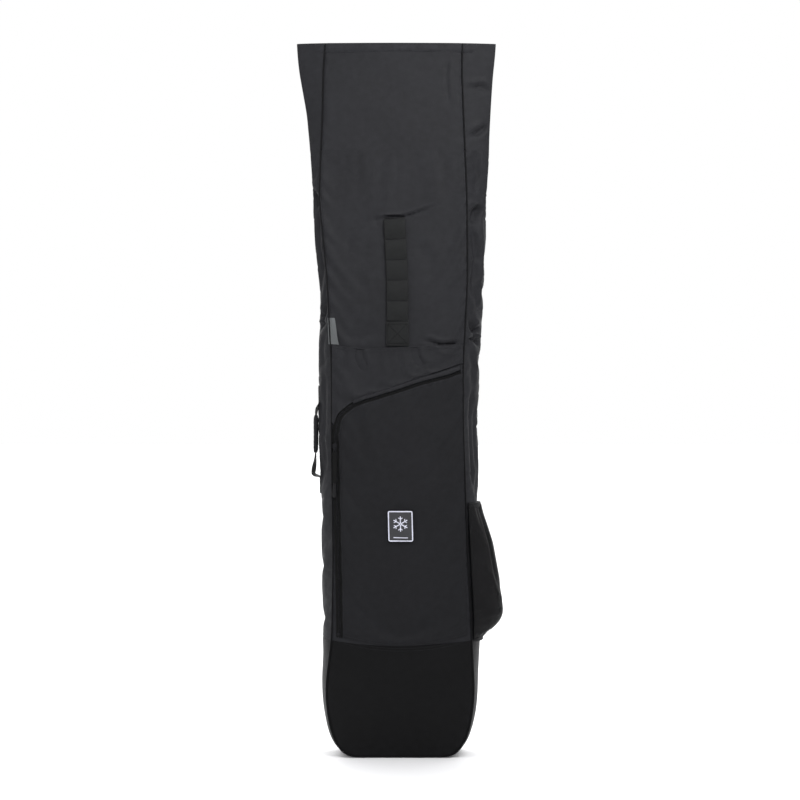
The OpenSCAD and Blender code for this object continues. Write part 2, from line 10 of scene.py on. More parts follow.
import bpy
import numpy as np
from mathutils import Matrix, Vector


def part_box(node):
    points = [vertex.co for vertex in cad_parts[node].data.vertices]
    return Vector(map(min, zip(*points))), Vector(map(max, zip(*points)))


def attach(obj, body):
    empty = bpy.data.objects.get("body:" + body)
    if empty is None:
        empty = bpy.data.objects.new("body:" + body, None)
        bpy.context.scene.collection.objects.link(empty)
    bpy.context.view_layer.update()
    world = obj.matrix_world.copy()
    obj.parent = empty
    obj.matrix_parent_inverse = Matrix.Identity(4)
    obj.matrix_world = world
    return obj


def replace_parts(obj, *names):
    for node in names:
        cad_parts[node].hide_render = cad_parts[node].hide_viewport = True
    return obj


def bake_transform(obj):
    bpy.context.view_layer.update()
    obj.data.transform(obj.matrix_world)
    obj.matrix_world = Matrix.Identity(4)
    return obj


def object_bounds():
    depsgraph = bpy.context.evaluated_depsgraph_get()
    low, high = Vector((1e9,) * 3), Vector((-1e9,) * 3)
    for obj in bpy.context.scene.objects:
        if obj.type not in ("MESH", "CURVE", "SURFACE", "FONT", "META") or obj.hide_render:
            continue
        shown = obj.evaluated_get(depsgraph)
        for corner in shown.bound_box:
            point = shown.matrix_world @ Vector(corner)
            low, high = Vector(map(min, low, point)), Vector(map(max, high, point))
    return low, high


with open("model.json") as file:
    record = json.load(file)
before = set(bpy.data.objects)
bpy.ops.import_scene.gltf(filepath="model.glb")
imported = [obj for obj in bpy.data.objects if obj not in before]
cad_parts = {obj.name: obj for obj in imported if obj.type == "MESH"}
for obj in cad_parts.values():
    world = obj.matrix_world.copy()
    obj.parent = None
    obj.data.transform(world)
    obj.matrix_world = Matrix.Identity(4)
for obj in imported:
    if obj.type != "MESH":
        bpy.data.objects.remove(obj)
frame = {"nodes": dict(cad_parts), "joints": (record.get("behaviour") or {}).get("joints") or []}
cad_low, cad_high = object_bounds()
MM = 0.001


# ---------------------------------------------------------------- camera, light and floor


def make_camera():
    data = bpy.data.cameras.new("camera")
    data.lens, data.sensor_width = 85, 36
    camera = bpy.data.objects.new("camera", data)
    camera.location = (0, -4.397, cad_high.z / 2 - 0.0036)
    camera.rotation_euler = (math.radians(90), 0, 0)
    bpy.context.scene.collection.objects.link(camera)
    bpy.context.scene.camera = camera


def area_light(name, place, target, size, power, spread=180):
    data = bpy.data.lights.new(name, "AREA")
    data.shape, data.size, data.size_y, data.energy = "RECTANGLE", size[0], size[1], power
    light = bpy.data.objects.new(name, data)
    light.location = place
    data.spread = math.radians(spread)
    light.rotation_euler = (Vector(target) - Vector(place)).to_track_quat("-Z", "Y").to_euler()
    bpy.context.scene.collection.objects.link(light)


def make_world():
    """White behind the bag, and dimmer in front of it so that black cloth stays black."""
    world = bpy.data.worlds.new("studio")
    bpy.context.scene.world = world
    world.use_nodes = True
    nodes, links = world.node_tree.nodes, world.node_tree.links
    coord = nodes.new("ShaderNodeTexCoord")
    split = nodes.new("ShaderNodeSeparateXYZ")
    ramp = nodes.new("ShaderNodeValToRGB")
    links.new(coord.outputs["Generated"], split.inputs[0])
    links.new(split.outputs["Y"], ramp.inputs[0])
    ramp.color_ramp.elements[0].position, ramp.color_ramp.elements[0].color = 0.3, (0.24, 0.24, 0.245, 1)
    ramp.color_ramp.elements[1].position, ramp.color_ramp.elements[1].color = 0.80, (1.0, 1.0, 1.0, 1)
    # Brighter overhead, so that the far floor is as pale as the wall of light behind it
    above = nodes.new("ShaderNodeMapRange")
    links.new(split.outputs["Z"], above.inputs[0])
    for i, value in enumerate((0.08, 0.9, 1.08, 5.6)):
        above.inputs[i + 1].default_value = value
    links.new(ramp.outputs[0], nodes["Background"].inputs[0])
    links.new(above.outputs[0], nodes["Background"].inputs[1])
    # What is seen past the floor is one plain white backdrop.
    kinds = ("Background", "LightPath", "MixShader")
    backdrop, seen, mix = (nodes.new("ShaderNode" + kind) for kind in kinds)
    backdrop.inputs[0].default_value = (1, 1, 1, 1)
    links.new(seen.outputs["Is Camera Ray"], mix.inputs[0])
    links.new(nodes["Background"].outputs[0], mix.inputs[1])
    links.new(backdrop.outputs[0], mix.inputs[2])
    links.new(mix.outputs[0], nodes["World Output"].inputs[0])


def make_stage():
    bpy.ops.mesh.primitive_plane_add(size=60, location=(0, 0, -0.0005))
    floor = bpy.context.object
    floor.name = "floor"
    material = bpy.data.materials.new("floor")
    material.use_nodes = True
    shader = material.node_tree.nodes["Principled BSDF"]
    shader.inputs["Base Color"].default_value = (0.93, 0.93, 0.93, 1)
    shader.inputs["Roughness"].default_value = 0.9
    shader.inputs["Specular IOR Level"].default_value = 0.1
    floor.data.materials.append(material)
    make_world()
    area_light("key", (0.7, -1.7, 2.5), (0.02, 0, 1.42), (0.9, 0.7), 7.5, spread=72)
    area_light("left", (-2.3, -1.2, 1.9), (-0.1, 0, 1.1), (0.6, 1.8), 3, spread=110)
    area_light("back", (-0.8, 2.4, 2.6), (0, 0, 0.9), (1.4, 1.0), 6, spread=120)
    bpy.context.scene.view_settings.view_transform = "Standard"


# ---------------------------------------------------------------- materials

LOOKS = {}


class Graph:
    """Short ways to add shader nodes to one material."""

    def __init__(self, name):
        self.material = bpy.data.materials.new(name)
        self.material.use_nodes = True
        self.tree = self.material.node_tree
        self.shader = self.tree.nodes["Principled BSDF"]
        LOOKS[name] = self.material

    def put(self, socket, value):
        if isinstance(value, bpy.types.NodeSocket):
            self.tree.links.new(value, socket)
        else:
            socket.default_value = value

    def set(self, **values):
        for name, value in values.items():
            self.put(self.shader.inputs[name.replace("_", " ")], value)

    def math(self, kind, a, b=0.0, c=0.0):
        node = self.tree.nodes.new("ShaderNodeMath")
        node.operation = kind
        for i, v in enumerate((a, b, c)):
            self.put(node.inputs[i], v)
        return node.outputs[0]

    def uv(self):
        """The unwrapped place on the cloth, in millimetres across and along."""
        node = self.tree.nodes.new("ShaderNodeUVMap")
        node.uv_map = "UVMap"
        split = self.tree.nodes.new("ShaderNodeSeparateXYZ")
        self.tree.links.new(node.outputs[0], split.inputs[0])
        self.uv_vector = node.outputs[0]
        return tuple(self.math("MULTIPLY", split.outputs[i], 1000.0) for i in (0, 1))

    def place(self):
        node = self.tree.nodes.new("ShaderNodeTexCoord")
        return node.outputs["Object"]

    def noise(self, vector, scale, detail=3.0, rough=0.55):
        node = self.tree.nodes.new("ShaderNodeTexNoise")
        self.put(node.inputs["Vector"], vector)
        node.inputs["Scale"].default_value = scale
        node.inputs["Detail"].default_value = detail
        node.inputs["Roughness"].default_value = rough
        return node.outputs["Fac"]

    def ramp(self, value, low, high, a=0.0, b=1.0):
        node = self.tree.nodes.new("ShaderNodeMapRange")
        for i, v in enumerate((value, low, high, a, b)):
            self.put(node.inputs[i], v)
        return node.outputs[0]

    def mix(self, share, a, b):
        node = self.tree.nodes.new("ShaderNodeMix")
        node.data_type = "RGBA"
        self.put(node.inputs[0], share)
        self.put(node.inputs[6], a)
        self.put(node.inputs[7], b)
        return node.outputs[2]

    def wave(self, value, pitch):
        """0 to 1 and back once every pitch."""
        turns = self.math("MULTIPLY", value, 2 * math.pi / pitch)
        return self.math("MULTIPLY_ADD", self.math("SINE", turns), 0.5, 0.5)

    def attribute(self, name):
        node = self.tree.nodes.new("ShaderNodeAttribute")
        node.attribute_name = name
        return node.outputs["Fac"]

    def bump(self, height, strength, distance):
        node = self.tree.nodes.new("ShaderNodeBump")
        node.inputs["Strength"].default_value = strength
        node.inputs["Distance"].default_value = distance
        self.put(node.inputs["Height"], height)
        self.tree.links.new(node.outputs[0], self.shader.inputs["Normal"])


def grey(value, blue=1.16, red=0.985):
    return (value * red, value, value * blue, 1)


def cloth_look(name, tone, pitch, rough, sheen, specular, lift=1.0):
    """Coated plain weave: warp and weft threads that pass over and under each other."""
    g = Graph(name)
    across, along = g.uv()
    warp, weft = g.wave(across, pitch), g.wave(along, pitch)
    over = g.math("ABSOLUTE", g.math("SUBTRACT", warp, weft))
    slub = g.noise(g.uv_vector, 900.0, 2.0)
    cloud = g.noise(g.uv_vector, 7.0, 4.0)
    streak = g.noise(g.uv_vector, 60.0, 3.0)
    share = g.ramp(g.math("MULTIPLY_ADD", streak, 0.35, g.math("MULTIPLY", cloud, 0.65)), 0.32, 0.68)
    base = g.mix(share, grey(tone * 0.78), grey(tone * 1.22 * lift))
    threads = g.mix(g.math("MULTIPLY", over, 0.35), base, grey(tone * 1.7))
    # This attribute lightens the cloth. Along the seams and at the base's bottom it is rubbing. Along the
    # base's rounded side edges and the pocket's zip lips it is painted highlight.
    wear_highlight_share = g.attribute("wear")
    rubbed_and_highlit = g.mix(g.math("MULTIPLY", wear_highlight_share, g.ramp(streak, 0.35, 0.7)), threads, grey(tone * 3.0))
    g.set(Base_Color=rubbed_and_highlit, Specular_IOR_Level=specular, Sheen_Weight=sheen, Sheen_Roughness=0.45)
    g.set(Roughness=g.ramp(g.math("MULTIPLY_ADD", slub, 0.4, cloud), 0.3, 1.1, rough - 0.08, rough + 0.1))
    height = g.math("MULTIPLY_ADD", slub, 0.5, over)
    g.bump(height, 0.35, 0.00018)
    return g


def webbing_look(name, tone, rib):
    """Woven tape: lengthwise ribs crossed by fine picks."""
    g = Graph(name)
    across, along = g.uv()
    ribs = g.wave(across, rib)
    picks = g.wave(g.math("ADD", along, g.math("MULTIPLY", across, 0.5)), rib * 0.8)
    weave = g.math("MULTIPLY", ribs, g.math("MULTIPLY_ADD", picks, 0.6, 0.4))
    fuzz = g.noise(g.uv_vector, 1500.0, 2.0)
    cloud = g.noise(g.uv_vector, 25.0, 3.0)
    base = g.mix(g.ramp(cloud, 0.3, 0.7), grey(tone * 0.75, 1.02, 0.94), grey(tone * 1.2, 1.03, 0.94))
    g.set(Base_Color=g.mix(g.math("MULTIPLY", weave, 0.6), base, grey(tone * 1.9, 1.02, 0.96)))
    g.set(Specular_IOR_Level=0.14, Sheen_Weight=0.03, Sheen_Roughness=0.5)
    g.set(Roughness=g.ramp(fuzz, 0.2, 0.8, 0.55, 0.78))
    g.bump(g.math("MULTIPLY_ADD", fuzz, 0.3, weave), 0.6, 0.0004)


def mesh_look(name):
    """Knitted mesh: threads round staggered holes that let the cloth behind show."""
    g = Graph(name)
    across, along = g.uv()
    pitch = 2.6
    a = g.wave(g.math("ADD", across, along), pitch)
    b = g.wave(g.math("SUBTRACT", across, along), pitch)
    hole = g.math("GREATER_THAN", g.math("MULTIPLY", a, b), 0.52)
    cloud = g.noise(g.uv_vector, 18.0, 3.0)
    thread = g.mix(g.ramp(cloud, 0.3, 0.7), grey(0.0035, 1.12, 1.03), grey(0.007, 1.12, 1.03))
    g.set(Base_Color=thread, Alpha=g.math("SUBTRACT", 1.0, g.math("MULTIPLY", hole, 0.45)))
    g.set(Specular_IOR_Level=0.12, Sheen_Weight=0.02, Sheen_Roughness=0.4)
    g.set(Roughness=g.ramp(cloud, 0.3, 0.7, 0.5, 0.7))
    g.bump(g.math("MULTIPLY", a, b), 0.5, 0.0005)


def moulded_look(name, tone, rough, grain, metal=0.0, specular=0.5, coat=0.0):
    """Moulded plastic, rubber or blasted metal: fine grain, with handling marks."""
    g = Graph(name)
    at = g.place()
    fine, cloud = g.noise(at, grain, 3.0), g.noise(at, 40.0, 4.0)
    g.set(Base_Color=g.mix(g.ramp(cloud, 0.3, 0.7), grey(tone * 0.82), grey(tone * 1.18)))
    g.set(Roughness=g.ramp(g.math("MULTIPLY_ADD", fine, 0.3, cloud), 0.3, 1.0, rough - 0.1, rough + 0.12))
    g.set(Metallic=metal, Specular_IOR_Level=specular, Coat_Weight=coat)
    g.bump(fine, 0.25, 0.0002)
    soft = g.tree.nodes.new("ShaderNodeBevel")
    soft.inputs["Radius"].default_value = 0.6 * MM
    for node in g.tree.nodes:
        if node.type == "BUMP":
            g.tree.links.new(soft.outputs[0], node.inputs["Normal"])


def thread_look(name, tone):
    g = Graph(name)
    at = g.place()
    twist = g.noise(at, 1200.0, 2.0)
    g.set(Base_Color=g.mix(twist, grey(tone * 0.7), grey(tone * 1.4)), Sheen_Weight=0.02)
    g.set(Roughness=g.ramp(twist, 0.2, 0.8, 0.5, 0.7), Specular_IOR_Level=0.15)
    g.bump(twist, 0.3, 0.0002)


def make_materials():
    cloth_look("cloth", 0.0110, 0.9, 0.60, 0.03, 0.13)
    cloth_look("pocket_cloth", 0.0080, 0.9, 0.60, 0.025, 0.12)
    cloth_look("heavy_cloth", 0.0020, 1.1, 0.50, 0.01, 0.12)
    cloth_look("lining", 0.035, 0.6, 0.5, 0.03, 0.2)
    cloth_look("binding", 0.0030, 0.7, 0.6, 0.01, 0.10)
    webbing_look("webbing", 0.0072, 1.6)
    webbing_look("zip_tape", 0.0012, 1.0)
    webbing_look("grey_tag", 0.085, 0.8)
    mesh_look("mesh")
    moulded_look("plastic", 0.004, 0.55, 700.0, specular=0.2)
    moulded_look("zip_black", 0.012, 0.35, 500.0, metal=0.7, specular=0.4)
    moulded_look("metal", 0.32, 0.38, 900.0, metal=1.0)
    moulded_look("label_dark", 0.02, 0.5, 600.0)
    moulded_look("label_light", 0.62, 0.45, 600.0)
    thread_look("thread", 0.013)
    thread_look("dark_thread", 0.005)


# ---------------------------------------------------------------- shape of the bag

LENGTH = cad_high.z / MM
PANEL_WIDTH, BAG_DEPTH = 302.0, 126.0
BASE_FLAT, BASE_ROUND, BASE_SEAM, POCKET_TOP = 78.0, 170.0, 275.0, 942.0
JOINTS = {j["name"]: j for j in frame["joints"]}
SPLIT = 1400.0
WALL = 3.0

# Share of the length, seam half width and half depth as shares, gusset bulge, panel crown,
# skew, power and shift.
STATIONS = np.array([
    [0.000, 1.130, 10, 0.92, 0, 0, 2.4, 0],
    [0.103, 1.120, 12, 1.03, 8, 0, 2.4, 0],
    [0.167, 1.060, 22, 1.074, 10, 0, 2.2, 4],
    [0.273, 1.020, 27, 1.04, 12, 1, 2.2, 2],
    [0.460, 1.000, 30, 0.98, 12, 4, 2.0, -2],
    [0.545, 1.000, 34, 0.88, 10, 5, 1.9, -1],
    [0.667, 1.070, 29, 0.64, 6, 11, 1.8, 5],
    [0.782, 1.130, 29, 0.42, 3, 16, 1.7, 0],
    [0.897, 1.080, 50, 0.27, 3, 14, 1.5, -2],
    [0.964, 1.060, 66, 0.20, 4, 8, 1.3, -9],
    [1.000, 1.050, 73, 0.19, 4, 6, 1.2, -8],
])


def smooth_profile(spread=20.0, step=2.0):
    """The stations' columns on a fine ladder of heights, with their corners rounded off."""
    z = np.arange(-80, LENGTH + 80, step)
    reach = np.arange(-30, 31) * step
    kernel = np.exp(-0.5 * (reach / spread) ** 2)
    kernel /= kernel.sum()
    columns = []
    for c in range(1, 8):
        raw = np.interp(z, STATIONS[:, 0] * LENGTH, STATIONS[:, c])
        padded = np.concatenate([np.full(30, raw[0]), raw, np.full(30, raw[-1])])
        columns.append(np.convolve(padded, kernel, "valid"))
    return z, columns


LADDER, COLUMNS = smooth_profile()


def column(z, c):
    return np.interp(z, LADDER, COLUMNS[c])


def half_width(z):
    opened = np.where(z >= BASE_ROUND, 1.0, (1 - (1 - np.clip(z, 0, BASE_ROUND) / BASE_ROUND) ** 2) ** 0.3)
    return BASE_FLAT + (PANEL_WIDTH / 2 * column(z, 0) - BASE_FLAT) * opened


def half_depth(z):
    return BAG_DEPTH / 2 * column(z, 2)


def surface(face, z, p, out=0.0):
    """Points in mm on a face of the bag: p runs across it from -1 to 1, and out moves them outwards."""
    z, p, out = np.broadcast_arrays(np.asarray(z, float), np.asarray(p, float), np.asarray(out, float))
    w, d, crown, skew, shift = half_width(z), half_depth(z), column(z, 3), column(z, 4), column(z, 6)
    if face in ("front", "back"):
        sign = -1 if face == "front" else 1
        x = p * (w + out) + sign * skew + shift
        y = sign * (d + out + crown * (1 - p * p))
    else:
        sign = -1 if face == "left" else 1
        x = sign * (w + out + column(z, 1) * (1 - np.abs(p) ** column(z, 5))) + skew * p + shift
        y = p * (d + out)
    return np.stack([x, y, z - out * np.maximum(0, 1 - z / BASE_ROUND)], -1)


def noise2(a, b, pitch, seed):
    """Smooth noise from -1 to 1 over a plane, one value every pitch."""
    table = np.random.default_rng(seed).uniform(-1, 1, (64, 64))
    u, v = np.asarray(a) / pitch + 500.0, np.asarray(b) / pitch + 500.0
    iu, iv = np.floor(u).astype(int), np.floor(v).astype(int)
    fu, fv = u - iu, v - iv
    fu, fv = fu * fu * (3 - 2 * fu), fv * fv * (3 - 2 * fv)
    pick = lambda i, j: table[(iu + i) % 64, (iv + j) % 64]
    low = pick(0, 0) * (1 - fu) + pick(1, 0) * fu
    high = pick(0, 1) * (1 - fu) + pick(1, 1) * fu
    return low * (1 - fv) + high * fv


def crease_depth(a, b, creases):
    """How far creases push a face: each is (points, depth, width), with a raised lip along one side."""
    total = np.zeros(np.broadcast(a, b).shape)
    for points, depth, width in creases:
        near, share, lip = np.full(total.shape, 1e9), np.zeros(total.shape), np.zeros(total.shape)
        spans = len(points) - 1
        for i in range(spans):
            (x0, z0), (x1, z1) = points[i], points[i + 1]
            dx, dz = x1 - x0, z1 - z0
            along = np.clip(((a - x0) * dx + (b - z0) * dz) / (dx * dx + dz * dz), 0, 1)
            ox, oz = a - x0 - along * dx, b - z0 - along * dz
            far = np.hypot(ox, oz)
            closer = far < near
            near = np.where(closer, far, near)
            share = np.where(closer, (i + along) / spans, share)
            lip = np.where(closer, np.sign(oz * dx - ox * dz), lip)
        ends = np.clip(np.sin(np.pi * np.clip(share, 0.02, 0.98)) * 1.6, 0, 1)
        valley = -depth * np.exp(-((near / width) ** 2))
        ridge = 0.45 * depth * np.exp(-(((near - 1.9 * width) / (1.1 * width)) ** 2)) * (lip > 0)
        total += ends * (valley + ridge)
    return total


# ---------------------------------------------------------------- meshes


def faces_of(rows, cols, closed_rows=False, closed_cols=False, flip=False):
    r = np.arange(rows if closed_rows else rows - 1)[:, None]
    c = np.arange(cols if closed_cols else cols - 1)[None, :]
    r1, c1 = (r + 1) % rows, (c + 1) % cols
    quads = np.stack(np.broadcast_arrays(r * cols + c, r * cols + c1, r1 * cols + c1, r1 * cols + c), -1)
    quads = quads.reshape(-1, 4)
    return quads[:, ::-1] if flip else quads


def make_mesh(name, points, quads, uv=None, looks=("cloth",), smooth=True, wear=None, caps=()):
    """A mesh from points in metres. uv is one pair for each point, in metres."""
    mesh = bpy.data.meshes.new(name)
    faces = [tuple(int(i) for i in q) for q in quads] + [tuple(int(i) for i in c) for c in caps]
    mesh.from_pydata([tuple(p) for p in np.asarray(points, float).reshape(-1, 3)], [], faces)
    if uv is not None:
        layer = mesh.uv_layers.new(name="UVMap")
        index = np.zeros(len(mesh.loops), int)
        mesh.loops.foreach_get("vertex_index", index)
        layer.data.foreach_set("uv", np.asarray(uv, float).reshape(-1, 2)[index].astype(np.float32).ravel())
    if wear is not None:
        rub_and_highlight_layer = mesh.attributes.new("wear", "FLOAT", "POINT")
        rub_and_highlight_layer.data.foreach_set("value", np.asarray(wear, np.float32).ravel())
    mesh.validate()
    mesh.polygons.foreach_set("use_smooth", np.full(len(mesh.polygons), smooth))
    obj = bpy.data.objects.new(name, mesh)
    bpy.context.scene.collection.objects.link(obj)
    for look in looks:
        mesh.materials.append(LOOKS[look])
    return obj


def grid_normals(points):
    down, across = np.gradient(points, axis=0), np.gradient(points, axis=1)
    n = np.cross(across, down)
    return n / np.maximum(np.linalg.norm(n, axis=-1, keepdims=True), 1e-9)


def arc_uv(points):
    """Lengths across each row from its middle, and up the middle column, in metres."""
    across = np.zeros(points.shape[:2])
    across[:, 1:] = np.cumsum(np.linalg.norm(np.diff(points, axis=1), axis=-1), axis=1)
    across -= across[:, points.shape[1] // 2][:, None]
    up = np.zeros(points.shape[:2])
    mid = points[:, points.shape[1] // 2]
    up[1:] = np.cumsum(np.linalg.norm(np.diff(mid, axis=0), axis=-1))[:, None]
    return np.stack([across, up], -1)


def sheet_mesh(name, points, looks, thick, wear=None, flip=False, uv=None, offset=-1.0):
    """A grid of points as cloth with a thickness, whose inner side takes the second look."""
    rows, cols = points.shape[:2]
    uv = arc_uv(points) if uv is None else uv
    obj = make_mesh(name, points, faces_of(rows, cols, flip=flip), uv, looks, wear=wear)
    solid = obj.modifiers.new("thickness", "SOLIDIFY")
    solid.thickness, solid.offset = thick * MM, offset
    if len(looks) > 1:
        solid.material_offset = 1
    rim = obj.modifiers.new("rim", "EDGE_SPLIT")
    rim.split_angle = math.radians(65)
    return obj


def settle(points, held, slack, pressure=0.0, frames=16, cap=6.0, bending=3.0):
    """Cloth simulation of a grid held at some points, whose cloth is longer by a share slack."""
    rows, cols = points.shape[:2]
    obj = make_mesh("settling", points, faces_of(rows, cols))
    group = obj.vertex_groups.new(name="held")
    group.add([int(i) for i in np.flatnonzero(held.ravel())], 1.0, "REPLACE")
    cloth = obj.modifiers.new("cloth", "CLOTH")
    s = cloth.settings
    s.quality, s.mass, s.air_damping = 5, 0.25, 2.0
    s.tension_stiffness = s.compression_stiffness = 25
    s.shear_stiffness, s.bending_stiffness = 10, bending
    s.tension_damping = s.compression_damping = s.shear_damping = 10
    s.bending_damping = 2.0
    s.vertex_group_mass = "held"
    s.pin_stiffness = 50
    s.shrink_min = -slack
    s.effector_weights.gravity = 0.25
    if pressure:
        s.use_pressure, s.uniform_pressure_force = True, pressure
    cloth.collision_settings.use_self_collision = False
    cloth.collision_settings.use_collision = False
    cloth.point_cache.frame_start, cloth.point_cache.frame_end = 1, frames
    scene = bpy.context.scene
    for f in range(1, frames + 1):
        scene.frame_set(f)
    depsgraph = bpy.context.evaluated_depsgraph_get()
    out = np.zeros(rows * cols * 3, np.float32)
    obj.evaluated_get(depsgraph).data.vertices.foreach_get("co", out)
    mesh = obj.data
    bpy.data.objects.remove(obj)
    bpy.data.meshes.remove(mesh)
    scene.frame_set(1)
    moved = out.reshape(rows, cols, 3).astype(float) - points
    far = np.linalg.norm(moved, axis=-1, keepdims=True)
    limit = cap * MM
    return points + moved * (limit * np.tanh(far / limit) / np.maximum(far, 1e-9))


def resample(path, pitch, extra=()):
    """Points every pitch along a path, and the same for each list in extra."""
    path = np.asarray(path, float)
    at = np.concatenate([[0], np.cumsum(np.linalg.norm(np.diff(path, axis=0), axis=1))])
    n = max(2, int(round(at[-1] / pitch)) + 1)
    want = np.linspace(0, at[-1], n)
    pick = lambda v: np.stack([np.interp(want, at, np.asarray(v, float)[:, i]) for i in range(3)], 1)
    return [pick(path)] + [pick(e) for e in extra]


def unit(v):
    return v / np.maximum(np.linalg.norm(v, axis=-1, keepdims=True), 1e-12)


def sweep(name, path, across, normal, section, looks, closed=False, widths=None):
    """A closed outline, given as (across, normal) pairs in mm, carried along a path in metres."""
    path, across, normal = (np.asarray(v, float) for v in (path, across, normal))
    section = np.asarray(section, float)
    scale = np.ones(len(path)) if widths is None else np.asarray(widths, float)
    a = section[None, :, 0] * scale[:, None]
    b = np.broadcast_to(section[None, :, 1], a.shape)
    points = path[:, None] + (a[..., None] * across[:, None] + b[..., None] * normal[:, None]) * MM
    rows, cols = points.shape[:2]
    along = np.concatenate([[0], np.cumsum(np.linalg.norm(np.diff(path, axis=0), axis=1))])
    uv = np.stack([a * MM, np.broadcast_to(along[:, None], a.shape)], -1)
    quads = faces_of(rows, cols, closed_rows=closed, closed_cols=True)
    caps = [] if closed else [list(range(cols))[::-1], list(range((rows - 1) * cols, rows * cols))]
    return make_mesh(name, points, quads, uv, looks, caps=caps)


def tape_section(width, thick, steps=8):
    """Outline of woven tape: flat faces and rounded selvedges, with its lower face at 0."""
    half, r = width / 2, thick / 2
    flat = half - r
    top = [(x, thick) for x in np.linspace(flat, -flat, steps)]
    left = [(-flat - r * math.sin(a), r + r * math.cos(a)) for a in np.radians([45, 90, 135])]
    low = [(x, 0.0) for x in np.linspace(-flat, flat, steps)]
    right = [(flat + r * math.sin(a), r + r * math.cos(a)) for a in np.radians([135, 90, 45])]
    return top + left + low + right


def round_section(r, sides=10):
    return [(r * math.cos(a), r * math.sin(a)) for a in np.linspace(0, 2 * math.pi, sides, endpoint=False)]


def path_frame(path, hint):
    """Unit vectors across and normal to a path, with the normals near the hints."""
    tangent = unit(np.gradient(np.asarray(path, float), axis=0))
    across = unit(np.cross(tangent, np.broadcast_to(hint, tangent.shape)))
    return across, unit(np.cross(across, tangent))


def tube(name, path, r, looks, sides=10, hint=(0.0, 1.0, 0.0), closed=False):
    across, normal = path_frame(path, np.asarray(hint, float))
    return sweep(name, path, across, normal, round_section(r, sides), looks, closed=closed)


STITCH_PROFILE = ((-1.0, 0.25), (-0.72, 0.85), (0.0, 1.0), (0.72, 0.85), (1.0, 0.25))


def stitches(name, seams, look="thread", pitch=4.2, length=3.0, r=0.42):
    """Rows of thread. Each seam is (points, normals), in metres."""
    parts = []
    for points, normals in seams:
        at, n = resample(points, pitch * MM, [normals])
        if len(at) > 2:
            parts.append((at, unit(n), unit(np.gradient(at, axis=0))))
    at, n, t = (np.concatenate([p[i] for p in parts]) for i in range(3))
    side = unit(np.cross(t, n))
    angles = np.linspace(0, 2 * math.pi, 6, endpoint=False)
    rings = []
    for along, fat in STITCH_PROFILE:
        centre = at + t * (along * length / 2 * MM) + n * (0.1 + 0.25 * fat) * r * MM
        for a in angles:
            rings.append(centre + (side * math.cos(a) + n * math.sin(a)) * (fat * r * MM))
    count = len(STITCH_PROFILE) * 6
    points = np.stack(rings, 1).reshape(-1, 3)
    one = faces_of(len(STITCH_PROFILE), 6, closed_cols=True)
    quads = (one[None] + np.arange(len(at))[:, None, None] * count).reshape(-1, 4)
    return make_mesh(name, points, quads, looks=(look,))


def join(name, objs):
    """Joins pieces into one mesh, with their modifiers applied first."""
    depsgraph = bpy.context.evaluated_depsgraph_get()
    for o in objs:
        if o.modifiers:
            done = bpy.data.meshes.new_from_object(o.evaluated_get(depsgraph))
            o.modifiers.clear()
            o.data = done
    with bpy.context.temp_override(
            active_object=objs[0], selected_editable_objects=objs, selected_objects=objs):
        bpy.ops.object.join()
    objs[0].name = name
    return objs[0]


# ---------------------------------------------------------------- pieces baked into world space


def blend_collar(obj):
    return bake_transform(obj)


def blend_mouth(obj):
    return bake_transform(obj)


# ---------------------------------------------------------------- cloth panels


def base_line(p):
    """Height of the seam between the base and the body, which sags between its ends."""
    return BASE_SEAM - 4 - 13 * (1 - p * p)


class Panel:
    """A face of the bag as a grid: rows go up and columns go across, as the face is seen from outside."""

    def __init__(self, face, heights, across):
        self.face, self.z, self.p = face, heights, across
        self.points = surface(face, heights, across) * MM

    def normals(self):
        n = grid_normals(self.points)
        return n if self.face in ("front", "right") else -n

    def at(self, p, z, out=0.0):
        """Points and normals on the panel near surface place (p, z), moved out by out mm."""
        p, z = np.broadcast_arrays(np.asarray(p, float), np.asarray(z, float))
        columns, level = self.p[0], self.z[:, self.z.shape[1] // 2]
        j = np.clip(np.interp(p, columns, np.arange(len(columns))), 0, len(columns) - 1.001)
        i = np.clip(np.interp(z, level, np.arange(len(level))), 0, len(level) - 1.001)
        i0, j0 = i.astype(int), j.astype(int)
        fi, fj = (i - i0)[..., None], (j - j0)[..., None]
        normal = self.normals()

        def pick(g):
            top = g[i0 + 1, j0] * (1 - fj) + g[i0 + 1, j0 + 1] * fj
            return (g[i0, j0] * (1 - fj) + g[i0, j0 + 1] * fj) * (1 - fi) + top * fi

        points, n = pick(self.points), unit(pick(normal))
        return points + n * (np.asarray(out, float)[..., None] * MM), n


FRONT_CREASES = [
    ([(-52, 1236), (-20, 1246), (20, 1247), (62, 1260), (104, 1276)], 5.5, 2.6),
    ([(-30, 1245), (-74, 1232), (-104, 1200), (-118, 1160)], 2.6, 8.0),
    ([(128, 1618), (124, 1570), (130, 1505)], 1.8, 4.0),
    ([(62, 962), (100, 950), (148, 954)], 7.0, 4.2),
    ([(-39, 1250), (-42, 1236), (-41, 1222)], 4.5, 2.4),
    ([(16, 1250), (15, 1236), (15, 1222)], 5.5, 2.4),
    ([(-40, 985), (-80, 965), (-150, 972)], 2.0, 8.0),
    ([(40, 1190), (75, 1150), (84, 1090)], 1.6, 14.0),
    ([(-60, 1180), (-88, 1120), (-84, 1060)], 1.8, 12.0),
]
